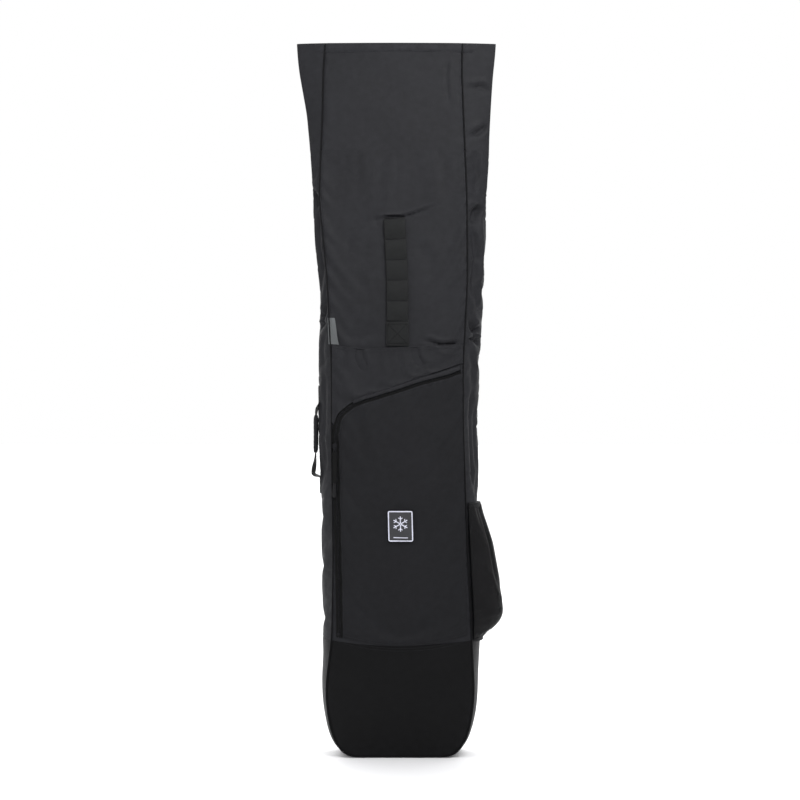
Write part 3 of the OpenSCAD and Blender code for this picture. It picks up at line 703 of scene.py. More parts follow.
# Across a gusset, from -30 at its front seam to 30 at its back seam
GUSSET_ACROSS = 30.0
GUSSET_CREASES = [
    ([(-19, 615), (-18, 700), (-19, 865)], 9.0, 3.2),
    ([(-10, 560), (-8, 700), (-10, 830)], 4.0, 5.0),
    ([(-20, 850), (-16, 900), (-21, 950)], 5.0, 4.0),
    ([(-26, 1010), (-18, 980), (-9, 990)], 15.0, 5.0),
    ([(-27, 960), (-16, 966), (-5, 948)], 11.0, 5.5),
    ([(-29, 1228), (-22, 1252), (-6, 1276)], 19.0, 9.0),
    ([(-24, 1240), (-20, 1150), (-25, 1060)], 12.0, 4.5),
    ([(-16, 1250), (-13, 1150), (-17, 1030)], 6.0, 4.0),
    ([(-24, 1434), (-14, 1448), (-4, 1464)], 9.0, 4.5),
    ([(-24, 1545), (-14, 1552), (-4, 1535)], 6.0, 5.0),
    ([(-20, 1400), (-17, 1340), (-20, 1300)], 4.0, 4.0),
]


def edge_pull(p, reach):
    """1 at both side edges of a panel, falling to 0 within a share reach of the half width."""
    return np.exp(-(((1 - np.abs(p)) / reach) ** 2))


def shape_panel(panel, seed):
    """Moves a fresh panel's points: slack cloth, seam puckers and creases."""
    z, p = np.broadcast_arrays(panel.z, panel.p)
    wide = panel.face in ("front", "back")
    a = p * (half_width(z) if wide else GUSSET_ACROSS)
    loose = 1.5 * noise2(a, z, 150.0, seed) + 0.8 * noise2(a + 0.4 * z, z, 60.0, seed + 1)
    pucker = 0.55 * noise2(z, a * 0.2, 11.0, seed + 2) * edge_pull(p, 0.10 if wide else 0.3)
    stiff = 1 - edge_pull(p, 0.06 if wide else 0.2)
    out = loose * stiff + pucker
    flat_top = np.clip((LENGTH - z) / 90.0, 0, 1)
    out = out * (0.25 + 0.75 * flat_top)
    creases = {"front": FRONT_CREASES, "right": GUSSET_CREASES, "left": GUSSET_CREASES}.get(panel.face, [])
    if panel.face == "left":
        creases = [([(x, h + 35) for x, h in c], 0.6 * d, w) for c, d, w in creases]
    if panel.face == "left":
        out = out + 5.0 * np.exp(-(((z - 752) / 85) ** 2)) * (1 - p ** 2)
    shown = 1.0 if wide else np.clip((np.abs(a) - 3) / 6, 0, 1)
    out = out + crease_depth(a, z, creases) * stiff * shown
    if panel.face == "left":
        # The flared part stands almost flat against the back panel, so it stays smooth.
        flare = np.clip((z - 1330) / 120, 0, 1)
        out = out * (1 - 0.85 * flare) + 1.2 * flare * (1 - p ** 2)
    panel.points = panel.points + panel.normals() * (out[..., None] * MM)


def rounded_edges(panel, drop=1.6, reach=3.5):
    """Turns the side edges of a panel inwards, as cloth does at a sewn seam."""
    z, p = np.broadcast_arrays(panel.z, panel.p)
    span = half_width(z) if panel.face in ("front", "back") else np.maximum(half_depth(z), 14)
    inset = (1 - np.abs(p)) * span
    panel.points = panel.points - panel.normals() * (drop * MM * np.exp(-inset / reach))[..., None]


def panel_wear(panel):
    """Rubbed places: along the seams, and lightly all over."""
    z, p = np.broadcast_arrays(panel.z, panel.p)
    return 0.05 + 0.3 * edge_pull(p, 0.035)


# Extra length of each panel's cloth, furthest movement and stiffness in its simulation
SLACK = {
    "front": (0.004, 5.0, 10.0), "back": (0.006, 5.0, 8.0),
    "left": (0.014, 3.5, 3.0), "right": (0.018, 4.5, 3.0),
}


def make_shell():
    """Body and roll top, as one panel for each side below SPLIT and one above it."""
    panels = {}
    columns = {"front": 71, "back": 61, "left": 27, "right": 27}
    for seed, face in enumerate(("front", "right", "back", "left")):
        # Columns are closer near the seams.
        q = np.linspace(-1, 1, columns[face])
        p = (np.sin(q * math.pi / 2) * 0.35 + q * 0.65)[None, :]
        share = np.linspace(0, 1, 300 if face == "front" else 190)[:, None]
        low = base_line(p) if face in ("front", "back") else np.full(p.shape, BASE_SEAM - 4)
        z = low + (SPLIT - low) * share
        body = Panel(face, z, p)
        shape_panel(body, 10 * seed)
        slack, cap, bending = SLACK[face]
        held = np.zeros(body.points.shape[:2], bool)
        held[:, [0, -1]] = True
        held[[0, -1], :] = True
        body.points = settle(body.points, held, slack, frames=14, cap=cap, bending=bending)
        top = Panel(face, np.linspace(SPLIT, LENGTH, 48)[:, None] + 0 * p, p)
        shape_panel(top, 10 * seed)
        for panel in (body, top):
            rounded_edges(panel, 1.6 if face in ("front", "back") else 0.7)
        # The two lengths meet along the same points.
        step = body.points[-1] - top.points[0]
        fade = np.exp(-np.arange(48) / 6.0)[:, None, None]
        top.points = top.points + step[None] * fade
        panels[face] = (body, top)
    return panels


def add_shell_pieces(panels):
    hidden = {
        "front": (("front_panel", "pocket_back_panel", "collar_front", "front_foam"), ("mouth_front",)),
        "back": (("back_panel", "collar_back", "back_foam"), ("mouth_back",)),
        "left": (("left_gusset", "collar_left"), ("mouth_left",)),
        "right": (("right_gusset", "collar_right"), ("mouth_right",)),
    }
    for face, (body, top) in panels.items():
        flip = face in ("back", "left")
        low = sheet_mesh(face + "_body", body.points, ("cloth", "lining"), 1.8, panel_wear(body), flip=flip)
        high = sheet_mesh(face + "_top", top.points, ("cloth", "lining"), 0.8, panel_wear(top), flip=flip)
        blend_collar(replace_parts(low, *hidden[face][0]))
        blend_mouth(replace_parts(high, *hidden[face][1]))


def base_heights(steps=20):
    round_part = BASE_ROUND * (1 - np.cos(np.linspace(0, math.pi / 2, steps)))
    return np.concatenate([round_part[:-1], np.linspace(BASE_ROUND, BASE_SEAM - 4, 14)])


def make_base():
    """Heavy cloth base: a front, a back, and one strip that runs under the bag and up both sides."""
    z = base_heights()
    pieces = {}
    for seed, face in ((5, "front"), (6, "back")):
        q = np.linspace(-1, 1, 57)
        p = (np.sin(q * math.pi / 2) * 0.35 + q * 0.65)[None, :]
        share = np.clip((z - BASE_ROUND) / (z[-1] - BASE_ROUND), 0, 1)[:, None]
        heights = z[:, None] + (base_line(p) - z[-1]) * share
        panel = Panel(face, heights, p)
        out = 1.4 * noise2(p * 150, heights, 70.0, seed) + 0.7 * noise2(p * 150, heights, 28.0, seed + 3)
        out = out * (1 - edge_pull(p, 0.08)) * np.clip(heights / 40, 0, 1)
        panel.points = panel.points + panel.normals() * (out[..., None] * MM)
        rounded_edges(panel)
        # Lighter towards the bottom, where the base is rubbed. The lighter band along both side edges, from
        # about 20 to 200 mm up where the base wraps round, is a painted highlight.
        wear = 0.1 + 0.9 * np.exp(-heights / 28.0)
        wear = wear + 0.6 * edge_pull(p, 0.07) * np.exp(-((heights - 110) / 90.0) ** 2)
        piece = sheet_mesh("base_" + face, panel.points, ("heavy_cloth", "lining"), WALL, wear,
                           flip=face == "back")
        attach(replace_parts(piece, "base_%s_panel" % face), "bag")
        pieces[face] = panel
    t = np.linspace(-1, 1, 25)[None, :]
    left = surface("left", z[::-1, None], t)
    right = surface("right", z[:, None], t)
    share = np.linspace(0, 1, 16)[1:-1, None, None]
    under = left[-1][None] * (1 - share) + right[0][None] * share
    strip = np.concatenate([left, under, right]) * MM
    heights = strip[..., 2] / MM
    n = grid_normals(strip)
    bump = 1.3 * noise2(t * 60 + 0 * heights, np.arange(len(strip))[:, None] * 8.0, 45.0, 9)
    strip = strip + n * (bump * (1 - edge_pull(t, 0.15)) * np.clip(heights / 25, 0, 1))[..., None] * MM
    wear = 0.15 + 0.85 * np.exp(-heights / 30.0)
    gusset = sheet_mesh("base_strip", strip, ("heavy_cloth", "lining"), WALL, wear)
    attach(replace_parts(gusset, "base_gusset"), "bag")
    return pieces


def seam_path(panel, side, z0, z1, inset, out, n=400):
    """A line up a panel at inset mm from one side seam."""
    z = np.linspace(z0, z1, n)
    wide = panel.face in ("front", "back")
    span = half_width(z) if wide else half_depth(z)
    return panel.at(side * (1 - inset / span), z, out)


def level_path(panel, z, p0, p1, out, n=200, dip=None):
    p = np.linspace(p0, p1, n)
    return panel.at(p, z if dip is None else dip(p), out)


def add_piping(panels):
    """Cloth-covered cord in the front and back seams, from under the base to the mouth."""
    for face, sign in (("front", -1), ("back", 1)):
        heights = np.concatenate([BASE_ROUND * (1 - np.cos(np.radians(np.arange(0, 90, 3)))),
                                  np.linspace(BASE_ROUND, SPLIT, 190)])
        sides = []
        for side in (-1, 1):
            at = surface(face, heights, side)
            at = at + np.array([0.7 * side, 0.8 * sign, 0])
            at[:, 2] += 1.9 * np.clip(1 - heights / 12.0, 0, 1)
            sides.append(at)
        whole = np.concatenate([sides[0][::-1], sides[1]]) * MM
        low = tube(face + "_piping_low", resample(whole, 6 * MM)[0], 1.7, ("binding",), sides=8)
        blend_collar(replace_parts(low, face + "_piping"))
        tops = []
        for side in (-1, 1):
            at = surface(face, np.linspace(SPLIT, LENGTH - 0.5, 44), side)
            at = at + np.array([0.7 * side, 0.8 * sign, 0])
            tops.append(tube("top", at * MM, 1.7, ("binding",), sides=8))
        blend_mouth(join(face + "_piping_top", tops))


def add_seam_stitches(panels, base):
    low, high = [], []
    for face in ("front", "back"):
        body, top = panels[face]
        for side in (-1, 1):
            low.append(seam_path(body, side, BASE_SEAM + 6, SPLIT, 6.0, 0.1))
            high.append(seam_path(top, side, SPLIT, LENGTH - 24, 6.0, 0.1))
    for face in ("left", "right"):
        body, top = panels[face]
        low.append(level_path(body, BASE_SEAM + 2, -0.95, 0.95, 0.1))
    low.append(level_path(panels["back"][0], 0, -0.97, 0.97, 0.1, dip=lambda p: base_line(p) + 7))
    blend_collar(stitches("body_stitches", low))
    blend_mouth(stitches("top_stitches", high))
    rows = []
    for face in ("front", "back"):
        for drop in (5.0, 11.0):
            rows.append(level_path(base[face], 0, -0.97, 0.97, 0.1, dip=lambda p, d=drop: base_line(p) - d))
    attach(stitches("base_stitches", rows), "bag")


def add_hem():
    """Folded hem round the mouth, with two rows of stitches; it covers the stiffener strips."""
    ring = []
    outline = [("front", np.linspace(-1, 1, 50)), ("right", np.linspace(-1, 1, 31)[1:-1]),
               ("back", np.linspace(1, -1, 50)), ("left", np.linspace(1, -1, 31)[1:-1])]
    rows = [(LENGTH - 23, -0.6), (LENGTH - 22, 0.35), (LENGTH - 12, 0.5), (LENGTH - 2.5, 0.5),
            (LENGTH - 0.8, 0.0), (LENGTH, -1.2), (LENGTH - 0.4, -3.2), (LENGTH - 2.5, -4.4),
            (LENGTH - 12, -4.6), (LENGTH - 22, -4.2),
            (LENGTH - 23, -2.6)]
    for z, out in rows:
        ring.append(np.concatenate([surface(face, z, p, out) for face, p in outline]))
    points = np.stack(ring) * MM
    points[..., 2] = np.minimum(points[..., 2], LENGTH * MM)
    n, m = points.shape[:2]
    around = np.concatenate([[0], np.cumsum(np.linalg.norm(np.diff(points[0], axis=0), axis=1))])
    uv = np.stack([np.broadcast_to(around, (n, m)), points[..., 2]], -1)
    hem = make_mesh("hem", points, faces_of(n, m, closed_rows=True, closed_cols=True), uv, ("cloth",),
                    wear=np.full((n, m), 0.2))
    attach(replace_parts(hem, "mouth_hem", "front_stiffener", "back_stiffener"), "mouth")
    seams = []
    for face in ("front", "right", "back", "left"):
        p = np.linspace(-0.985, 0.985, 160)
        for z in (LENGTH - 19.5, LENGTH - 4.5):
            at = surface(face, z, p, 0.5) * MM
            out = surface(face, z, p, 1.5) * MM
            seams.append((at, unit(out - at)))
    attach(stitches("hem_stitches", seams, r=0.34), "mouth")


# ---------------------------------------------------------------- front pocket

ZIP_X = -PANEL_WIDTH / 2 + 9
# The zip's line in the front panel: up beside the left seam, round a bend, and slanting up to the right seam.
ZIP_LINE = [(ZIP_X, 268), (ZIP_X, 420), (ZIP_X, 600), (ZIP_X, 700), (ZIP_X + 0.5, 742), (ZIP_X + 8, 776),
            (ZIP_X + 25, 796), (-92, 814), (-48, 830), (4, 847), (48, 861), (98, 872), (145, 883)]


def rounded_line(points, per_span=14):
    """A smooth line through points, as a Catmull-Rom spline."""
    p = np.asarray(points, float)
    p = np.concatenate([[2 * p[0] - p[1]], p, [2 * p[-1] - p[-2]]])
    out = []
    for i in range(1, len(p) - 2):
        for t in np.linspace(0, 1, per_span, endpoint=False):
            a, b, c, d = p[i - 1], p[i], p[i + 1], p[i + 2]
            out.append(0.5 * (2 * b + (c - a) * t + (2 * a - 5 * b + 4 * c - d) * t * t
                              + (3 * b - 3 * c + d - a) * t ** 3))
    return np.array(out + [p[-2]])


ZIP_CENTRE = rounded_line(ZIP_LINE)


def zip_offset(d):
    """The zip's line moved d mm to its upper left."""
    t = unit(np.gradient(ZIP_CENTRE, axis=0))
    return ZIP_CENTRE + np.stack([-t[:, 1], t[:, 0]], 1) * d


def on_front(panel, x, z, out):
    return panel.at(x / half_width(z), z, out)


def pocket_layer(panel, left, right, low, high, rows, cols, lift, puff, seed, slack, bending):
    """A layer of cloth over the front between two x values and two heights given as functions of x."""
    across = np.linspace(0, 1, cols)[None, :]
    up = np.linspace(0, 1, rows)[:, None]
    x = left + (right - left) * across + 0 * up
    z = low(x) + (high(x) - low(x)) * up
    rise = lift + puff * (np.sin(np.pi * up) ** 0.5) * (np.sin(np.pi * across) ** 0.6)
    rise = rise + (0.8 * noise2(x, z, 85.0, seed) + 0.5 * noise2(x + z, z, 40.0, seed + 1)) * np.minimum(
        1, 6 * np.minimum(np.minimum(across, 1 - across), np.minimum(up, 1 - up)) * np.ones_like(x))
    points, _ = on_front(panel, x, z, rise)
    held = np.zeros(points.shape[:2], bool)
    held[:, [0, -1]] = True
    held[[0, -1], :] = True
    return settle(points, held, slack, frames=14, cap=4.0, bending=bending), x, z


def add_pocket(panels):
    body = panels["front"][0]
    limit = lambda z: half_width(z) - 1.5
    face_line, flap_line = zip_offset(-7.0), zip_offset(6.0)
    # The line's height as a function of x, from its vertical stretch to its right end.
    top_of = lambda line: lambda x: np.interp(x, np.maximum.accumulate(line[:, 0]), line[:, 1])
    face_x = face_line[:, 0].min() + 0.3
    right = float(limit(700.0))
    face_foot = lambda x: base_line(x / 155) + 1.5
    face_pts = pocket_layer(body, face_x, right, face_foot, top_of(face_line),
                            96, 64, 2.4, 5.0, 31, 0.006, 8.0)[0]
    # Faint wear all over. The lighter line along the pocket's top edge at the zip is a painted highlight.
    wear = 0.03 + 0.5 * np.exp(-((np.linspace(1, 0, 96) / 0.012) ** 2))[:, None] * np.ones((1, 64))
    face = sheet_mesh("pocket_face", face_pts, ("pocket_cloth", "lining"), 1.8, wear)
    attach(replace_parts(face, "pocket_face"), "bag")

    left = float(-limit(860.0))
    upper_seam = lambda x: POCKET_TOP + 3 * np.sin(x / 45.0) + 0 * x
    open_up = lambda x: 11.5 * np.clip((x + 60) / 200, 0, 1) ** 1.2
    low_flap = lambda x: np.where(x < flap_line[:, 0].min() + 1.5, 765.0, top_of(flap_line)(x) + open_up(x))
    flap_pts, flap_x, flap_z = pocket_layer(body, left, float(limit(900.0)), low_flap, upper_seam,
                                            40, 72, 3.2, 2.5, 41, 0.012, 4.0)
    # Faint wear all over. The lighter line along the flap's lower edge over the zip is a painted highlight.
    wear = 0.03 + 0.4 * np.exp(-((np.linspace(0, 1, 40) / 0.03) ** 2))[:, None] * np.ones((1, 72))
    dents = [([(-88, 944), (-87, 918), (-72, 888)], 8.0, 8.0), ([(40, 946), (43, 922), (56, 898)], 7.0, 7.0),
             ([(-150, 930), (-130, 890), (-136, 850)], 2.0, 8.0)]
    push = crease_depth(flap_x, flap_z, dents)
    flap_pts = flap_pts + grid_normals(flap_pts) * (push * MM)[..., None]
    flap = sheet_mesh("pocket_flap", flap_pts, ("cloth", "lining"), 1.8, wear)
    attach(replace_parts(flap, "pocket_flap"), "bag")

    # Folded lip of the flap over the slanting zip, wider towards the right seam
    lip_rows = []
    start = 95
    for d, out in ((9.5, 2.6), (9.0, 4.8), (7.5, 6.4), (5.0, 6.8), (2.6, 6.2), (1.6, 4.8), (2.2, 3.0)):
        line = zip_offset(d)[start:]
        widen = np.linspace(0, 1, len(line)) ** 1.2
        line = line + np.stack([np.zeros(len(line)), (d / 9.5) * 4.5 * widen - 1.0], 1)
        lip_rows.append(on_front(body, line[:, 0], line[:, 1], out)[0])
    lip_wear = np.full((7, len(lip_rows[0])), 0.12)
    lip = sheet_mesh("pocket_lip", np.stack(lip_rows)[::-1], ("cloth",), 0.8, lip_wear)
    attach(lip, "bag")

    tape_line = ZIP_CENTRE
    widths = np.array([-8.0, -4.0, -1.2, 1.2, 4.0, 8.0])
    outs = np.array([1.0, 1.2, 1.4, 1.4, 1.2, 1.0])
    tape = np.stack([on_front(body, *zip_offset(w).T, o)[0] for w, o in zip(widths, outs)], 1)
    tape_piece = sheet_mesh("zip_tape", tape, ("zip_tape",), 0.8, flip=True)
    coil_at, coil_n = on_front(body, tape_line[:, 0], tape_line[:, 1], 1.5)
    coils = []
    at, n = resample(coil_at, 1.6 * MM, [coil_n])
    t = unit(np.gradient(at, axis=0))
    side = unit(np.cross(t, n))
    for half, phase in ((-1, 0.0), (1, 0.5)):
        wiggle = np.repeat(at, 4, axis=0)
        nn, ss, tt = np.repeat(n, 4, axis=0), np.repeat(side, 4, axis=0), np.repeat(t, 4, axis=0)
        q = np.tile([0.0, 0.25, 0.5, 0.75], len(at))
        angle = 2 * math.pi * q
        wiggle = wiggle + tt * ((q + phase) * 1.6 * MM)[:, None]
        wiggle = wiggle + ss * ((half * 1.3 + 1.25 * np.cos(angle)) * MM)[:, None]
        wiggle = wiggle + nn * ((0.7 * np.sin(angle)) * MM)[:, None]
        coils.append(tube("coil", wiggle, 0.42, ("zip_black",), sides=5))
    zip_piece = join("zip_tape", [tape_piece] + coils)
    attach(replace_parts(zip_piece, "pocket_zip_tape"), "bag")

    seams = []
    for d, out, first in ((-9.5, 4.6, 0), (11.0, 5.4, 88)):
        line = zip_offset(d)[first:]
        line = line[(line[:, 0] < limit(line[:, 1]) - 3)]
        seams.append(on_front(body, line[:, 0], line[:, 1], out))
    x = np.linspace(left + 3, float(limit(POCKET_TOP)) - 3, 200)
    seams.append(on_front(body, x, upper_seam(x) - 5.0, 5.1))
    x = np.linspace(face_x + 4, right - 3, 200)
    seams.append(on_front(body, x, base_line(x / 155) + 6.0, 4.4))
    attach(stitches("pocket_stitches", seams), "bag")

    # Cloth welt over the seam at the pocket's top
    x = np.linspace(-float(limit(POCKET_TOP)), float(limit(POCKET_TOP)), 120)
    at, n = on_front(body, x, upper_seam(x) + 0.5, 2.6)
    across = path_frame(at, np.array([0.0, -1.0, 0.0]))[0]
    turns = np.linspace(0, 2 * math.pi, 12, endpoint=False)
    section = [(1.7 * math.cos(a), 0.9 * math.sin(a)) for a in turns]
    welt = sweep("pocket_welt", at, across, n, section, ("cloth",))
    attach(welt, "bag")


# ---------------------------------------------------------------- webbing on the front


DAISY_X = 0.0
DAISY_TOP, DAISY_LOW, DAISY_WIDTH, DAISY_END = 1241.0, 947.0, 50.0, 56.0
DAISY_LOOPS = 5


def add_daisy_chain(panels):
    body = panels["front"][0]

    def run(z, out):
        at, n = on_front(body, np.full(len(z), DAISY_X), z, out)
        across, _ = path_frame(at, np.array([0.0, -1.0, 0.0]))
        return at, across, n

    z = np.linspace(DAISY_LOW, DAISY_TOP, 60)
    at, across, n = run(z, np.full(60, 2.0))
    backing = sweep("daisy_webbing", at, across, n, tape_section(DAISY_WIDTH, 1.8), ("webbing",))
    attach(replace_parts(backing, "daisy_webbing"), "bag")

    pitch = (DAISY_TOP - DAISY_LOW - DAISY_END) / DAISY_LOOPS
    z, out = [], []
    for i in range(DAISY_LOOPS):
        q = np.linspace(0, 1, 15)[:-1]
        z.extend(DAISY_LOW + DAISY_END + pitch * (i + q))
        out.extend(4.0 + (4.6 + 0.8 * math.sin(2.1 * i)) * np.sin(math.pi * q) ** 0.8)
    z.append(DAISY_TOP)
    out.append(4.0)
    at, across, n = run(np.array(z), np.array(out))
    loops = sweep("daisy_loops", at, across, n, tape_section(DAISY_WIDTH - 1.5, 1.8), ("webbing",))
    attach(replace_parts(loops, "daisy_loops"), "bag")

    z = np.concatenate([[DAISY_LOW - 1.0], np.linspace(DAISY_LOW, DAISY_LOW + DAISY_END, 12)])
    out = np.concatenate([[2.5], 4.1 + 1.2 * np.sin(np.linspace(0, math.pi, 12)) ** 0.4])
    at, across, n = run(z, out)
    end = sweep("daisy_end", at, across, n, tape_section(DAISY_WIDTH + 1.5, 2.0), ("webbing",))
    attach(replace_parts(end, "daisy_end"), "bag")

    # Bar tacks between the loops, and the stitched box on the folded end.
    half = DAISY_WIDTH / 2 - 3
    seams = []
    for i in range(DAISY_LOOPS + 1):
        for step in (-1.0, 0.0, 1.0):
            x = np.linspace(-half, half, 60)
            z = np.full(60, DAISY_LOW + DAISY_END + pitch * i + step)
            seams.append(on_front(body, DAISY_X + x, z, 5.9))
    low, high = DAISY_LOW + 5, DAISY_LOW + DAISY_END - 6
    for a, b in (((-half, low), (half, low)), ((half, low), (half, high)), ((half, high), (-half, high)),
                 ((-half, high), (-half, low)), ((-half, low), (half, high)), ((-half, high), (half, low))):
        s = np.linspace(0, 1, 40)
        x, zz = a[0] + (b[0] - a[0]) * s, a[1] + (b[1] - a[1]) * s
        seams.append(on_front(body, DAISY_X + x, zz, 7.2))
    tacks = stitches("daisy_stitches", seams, look="dark_thread", pitch=2.4, length=2.2, r=0.6)
    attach(tacks, "bag")


def plate(name, panel, x0, z0, w, h, out, thick, look, corner=3.0, steps=5):
    """A rounded plate that lies on the front panel."""
    outline = []
    for cx, cz, a0 in ((w / 2 - corner, h / 2 - corner, 0), (-w / 2 + corner, h / 2 - corner, 90),
                       (-w / 2 + corner, -h / 2 + corner, 180), (w / 2 - corner, -h / 2 + corner, 270)):
        for a in np.radians(a0 + np.linspace(0, 90, steps)):
            outline.append((cx + corner * math.cos(a), cz + corner * math.sin(a)))
    outline = np.array(outline)
    rows = []
    for scale, lift in ((1.0, 0.0), (1.0, thick * 0.7), (1 - 0.8 / w, thick),
                        (0.66, thick), (0.33, thick), (0.02, thick)):
        rows.append(on_front(panel, x0 + outline[:, 0] * scale, z0 + outline[:, 1] * scale, out + lift)[0])
    points = np.stack(rows)
    n, m = points.shape[:2]
    obj = make_mesh(name, points, faces_of(n, m, closed_cols=True, flip=True), looks=(look,),
                    caps=[list(range((n - 1) * m, n * m))[::-1], list(range(m))])
    edge = obj.modifiers.new("crisp", "EDGE_SPLIT")
    edge.split_angle = math.radians(40)
    return obj


def frame_strip(name, panel, points, out, width, height, look, closed=False):
    """A raised bar along points (x, z) on the front panel."""
    p = np.asarray(points, float)
    at, n = on_front(panel, p[:, 0], p[:, 1], out)
    tangent = unit(np.gradient(at, axis=0))
    if closed:
        tangent = unit(np.roll(at, -1, axis=0) - np.roll(at, 1, axis=0))
    across = unit(np.cross(tangent, n))
    h = width / 2
    section = [(-h, -0.2), (h, -0.2), (h, height * 0.7),
               (h * 0.8, height), (-h * 0.8, height), (-h, height * 0.7)]
    return sweep(name, at, across, n, section, (look,), closed=closed)


def add_label(panels):
    """Rubber label with a plain border and a snowflake."""
    body = panels["front"][0]
    z0, x0, w, h = 534.0, 2.0, 57.0, 72.0
    lift = 7.6
    parts = [plate("plate", body, x0, z0, w, h, lift, 1.8, "label_dark", corner=4.0)]
    border = []
    for cx, cz, a0 in ((w / 2 - 5, h / 2 - 5, 0), (-w / 2 + 5, h / 2 - 5, 90), (-w / 2 + 5, -h / 2 + 5, 180),
                       (w / 2 - 5, -h / 2 + 5, 270)):
        for a in np.radians(a0 + np.linspace(0, 90, 6)):
            border.append((x0 + cx + 3 * math.cos(a), z0 + cz + 3 * math.sin(a)))
    parts.append(frame_strip("border", body, border, lift + 1.8, 2.6, 0.7, "label_light", closed=True))
    centre = (x0, z0 + 5)
    for k in range(6):
        a = math.radians(60 * k + 30)
        arm = lambda r, turn=0.0, base=(0.0, 0.0): (centre[0] + base[0] + r * math.cos(a + turn),
                                                    centre[1] + base[1] + r * math.sin(a + turn))
        line = [arm(r) for r in np.linspace(1.0, 18.0, 8)]
        parts.append(frame_strip("arm", body, line, lift + 1.8, 2.2, 0.6, "label_light"))
        for turn in (-1, 1):
            stem = (11.0 * math.cos(a), 11.0 * math.sin(a))
            line = [arm(r, turn * math.radians(55), stem) for r in np.linspace(0, 6, 4)]
            parts.append(frame_strip("twig", body, line, lift + 1.8, 1.7, 0.6, "label_light"))
    line = [(x, z0 - 26) for x in np.linspace(x0 - 16, x0 + 16, 9)]
    parts.append(frame_strip("bar", body, line, lift + 1.8, 2.0, 0.6, "label_light"))
    label = join("front_label", parts)
    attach(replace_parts(label, "front_label"), "bag")


def add_side_tag(panels):
    """Grey woven tag, folded into the left seam above the pocket."""
    body = panels["front"][0]
    z0, z1 = 945.0, 1006.0
    rows = []
    for z in np.linspace(z0, z1, 20):
        inset = np.linspace(-4.0, 12.0 + 7.0 * (z1 - z) / (z1 - z0), 9)
        lift = 1.2 + 2.2 * np.clip((inset + 4) / 21, 0, 1) + 0.5 * math.sin((z - z0) / 14.0)
        w = half_width(np.array([z]))[0]
        edge = body.at(np.clip(-(1 - inset / w), -1, 1), z, lift)[0]
        edge[inset < 0] += np.array([1, 0, 0]) * (inset[inset < 0][:, None] * MM)
        rows.append(edge)
    tag = sheet_mesh("side_tag", np.stack(rows), ("grey_tag",), 1.4, offset=0)
    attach(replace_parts(tag, "side_tag"), "bag")


# ---------------------------------------------------------------- mesh pocket

MESH_LOW, MESH_TOP = BASE_SEAM - 4, 584.0
# How far the mesh pocket stands out, as (share of its height, distance)
MESH_FULL = [
    (0, 3), (0.05, 20), (0.11, 41), (0.19, 55), (0.30, 54), (0.45, 49), (0.70, 36), (0.86, 19), (1, 4)
]


def add_mesh_pocket():
    share = np.linspace(0, 1, 64)[:, None]
    z = MESH_LOW + share * (MESH_TOP - MESH_LOW)
    t = np.linspace(-0.93, 0.93, 49)[None, :]
    full = np.interp(share, [f[0] for f in MESH_FULL], [f[1] for f in MESH_FULL])
    kernel = np.exp(-0.5 * (np.arange(-6, 7) / 1.4) ** 2)
    kernel /= kernel.sum()
    full = np.convolve(np.pad(full[:, 0], 6, mode="edge"), kernel, "valid")[:, None]
    base = surface("right", z, t)
    belly = np.clip(1 - (np.abs(t) / 0.94) ** 2.6, 0, 1) ** 0.75
    x = base[..., 0] + 1 + (full - 1) * belly
    y = base[..., 1] * (1 + 0.06 * full / 51)
    gather = np.sin(t * 26 + 2.5 * noise2(0 * t, z, 60.0, 71)) * (0.5 + 2.0 * np.exp(-(1 - share) / 0.12))
    folds = 2.4 * noise2(y * 1.0, z * 0.22, 13.0, 72) * (0.4 + share)
    x = x + (gather * 0.7 + folds) * belly * (full > 5)
    deep = -6.5 * np.exp(-(((y + 26) / 4.5) ** 2)) * np.exp(-(((z - 470) / 60) ** 4)) * belly
    x = x + deep
    points = np.stack(np.broadcast_arrays(x, y, z), -1) * MM
    held = np.zeros(points.shape[:2], bool)
    held[:, [0, -1]] = True
    held[[0, -1], :] = True
    points = settle(points, held, 0.012, frames=12, cap=3.0, bending=1.0)
    pouch = sheet_mesh("mesh_pocket", points, ("mesh",), 0.9)
    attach(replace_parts(pouch, "mesh_pocket"), "bag")
    # Elastic binding round the mouth, and taped edges down to the base seam.
    top = points[-1]
    across, normal = path_frame(top, np.array([1.0, 0.0, 0.0]))
    up = np.array([[0.0, 0.0, 1.0]])
    section = [(-5.5, -1.5), (5.5, -1.5), (6.3, 0), (5.5, 1.5), (-5.5, 1.5), (-6.3, 0)]
    band = sweep("mesh_elastic", top - up * 5 * MM, np.repeat(up, len(top), 0), unit(normal), section,
                 ("binding",))
    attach(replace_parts(band, "mesh_elastic"), "bag")
    edge = np.concatenate([points[::-1, 0], points[0, 1:-1], points[:, -1]])
    edge = resample(edge, 4 * MM)[0]
    across, normal = path_frame(edge, np.array([1.0, 0.0, 0.0]))
    section = tape_section(9, 1.4, 4)
    tape = sweep("mesh_binding", edge + normal * 0.3 * MM, across, normal, section, ("binding",))
    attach(tape, "bag")


# ---------------------------------------------------------------- carrying handle


def side_x(z, sign):
    return float(surface("left" if sign < 0 else "right", z, 0.0)[0])


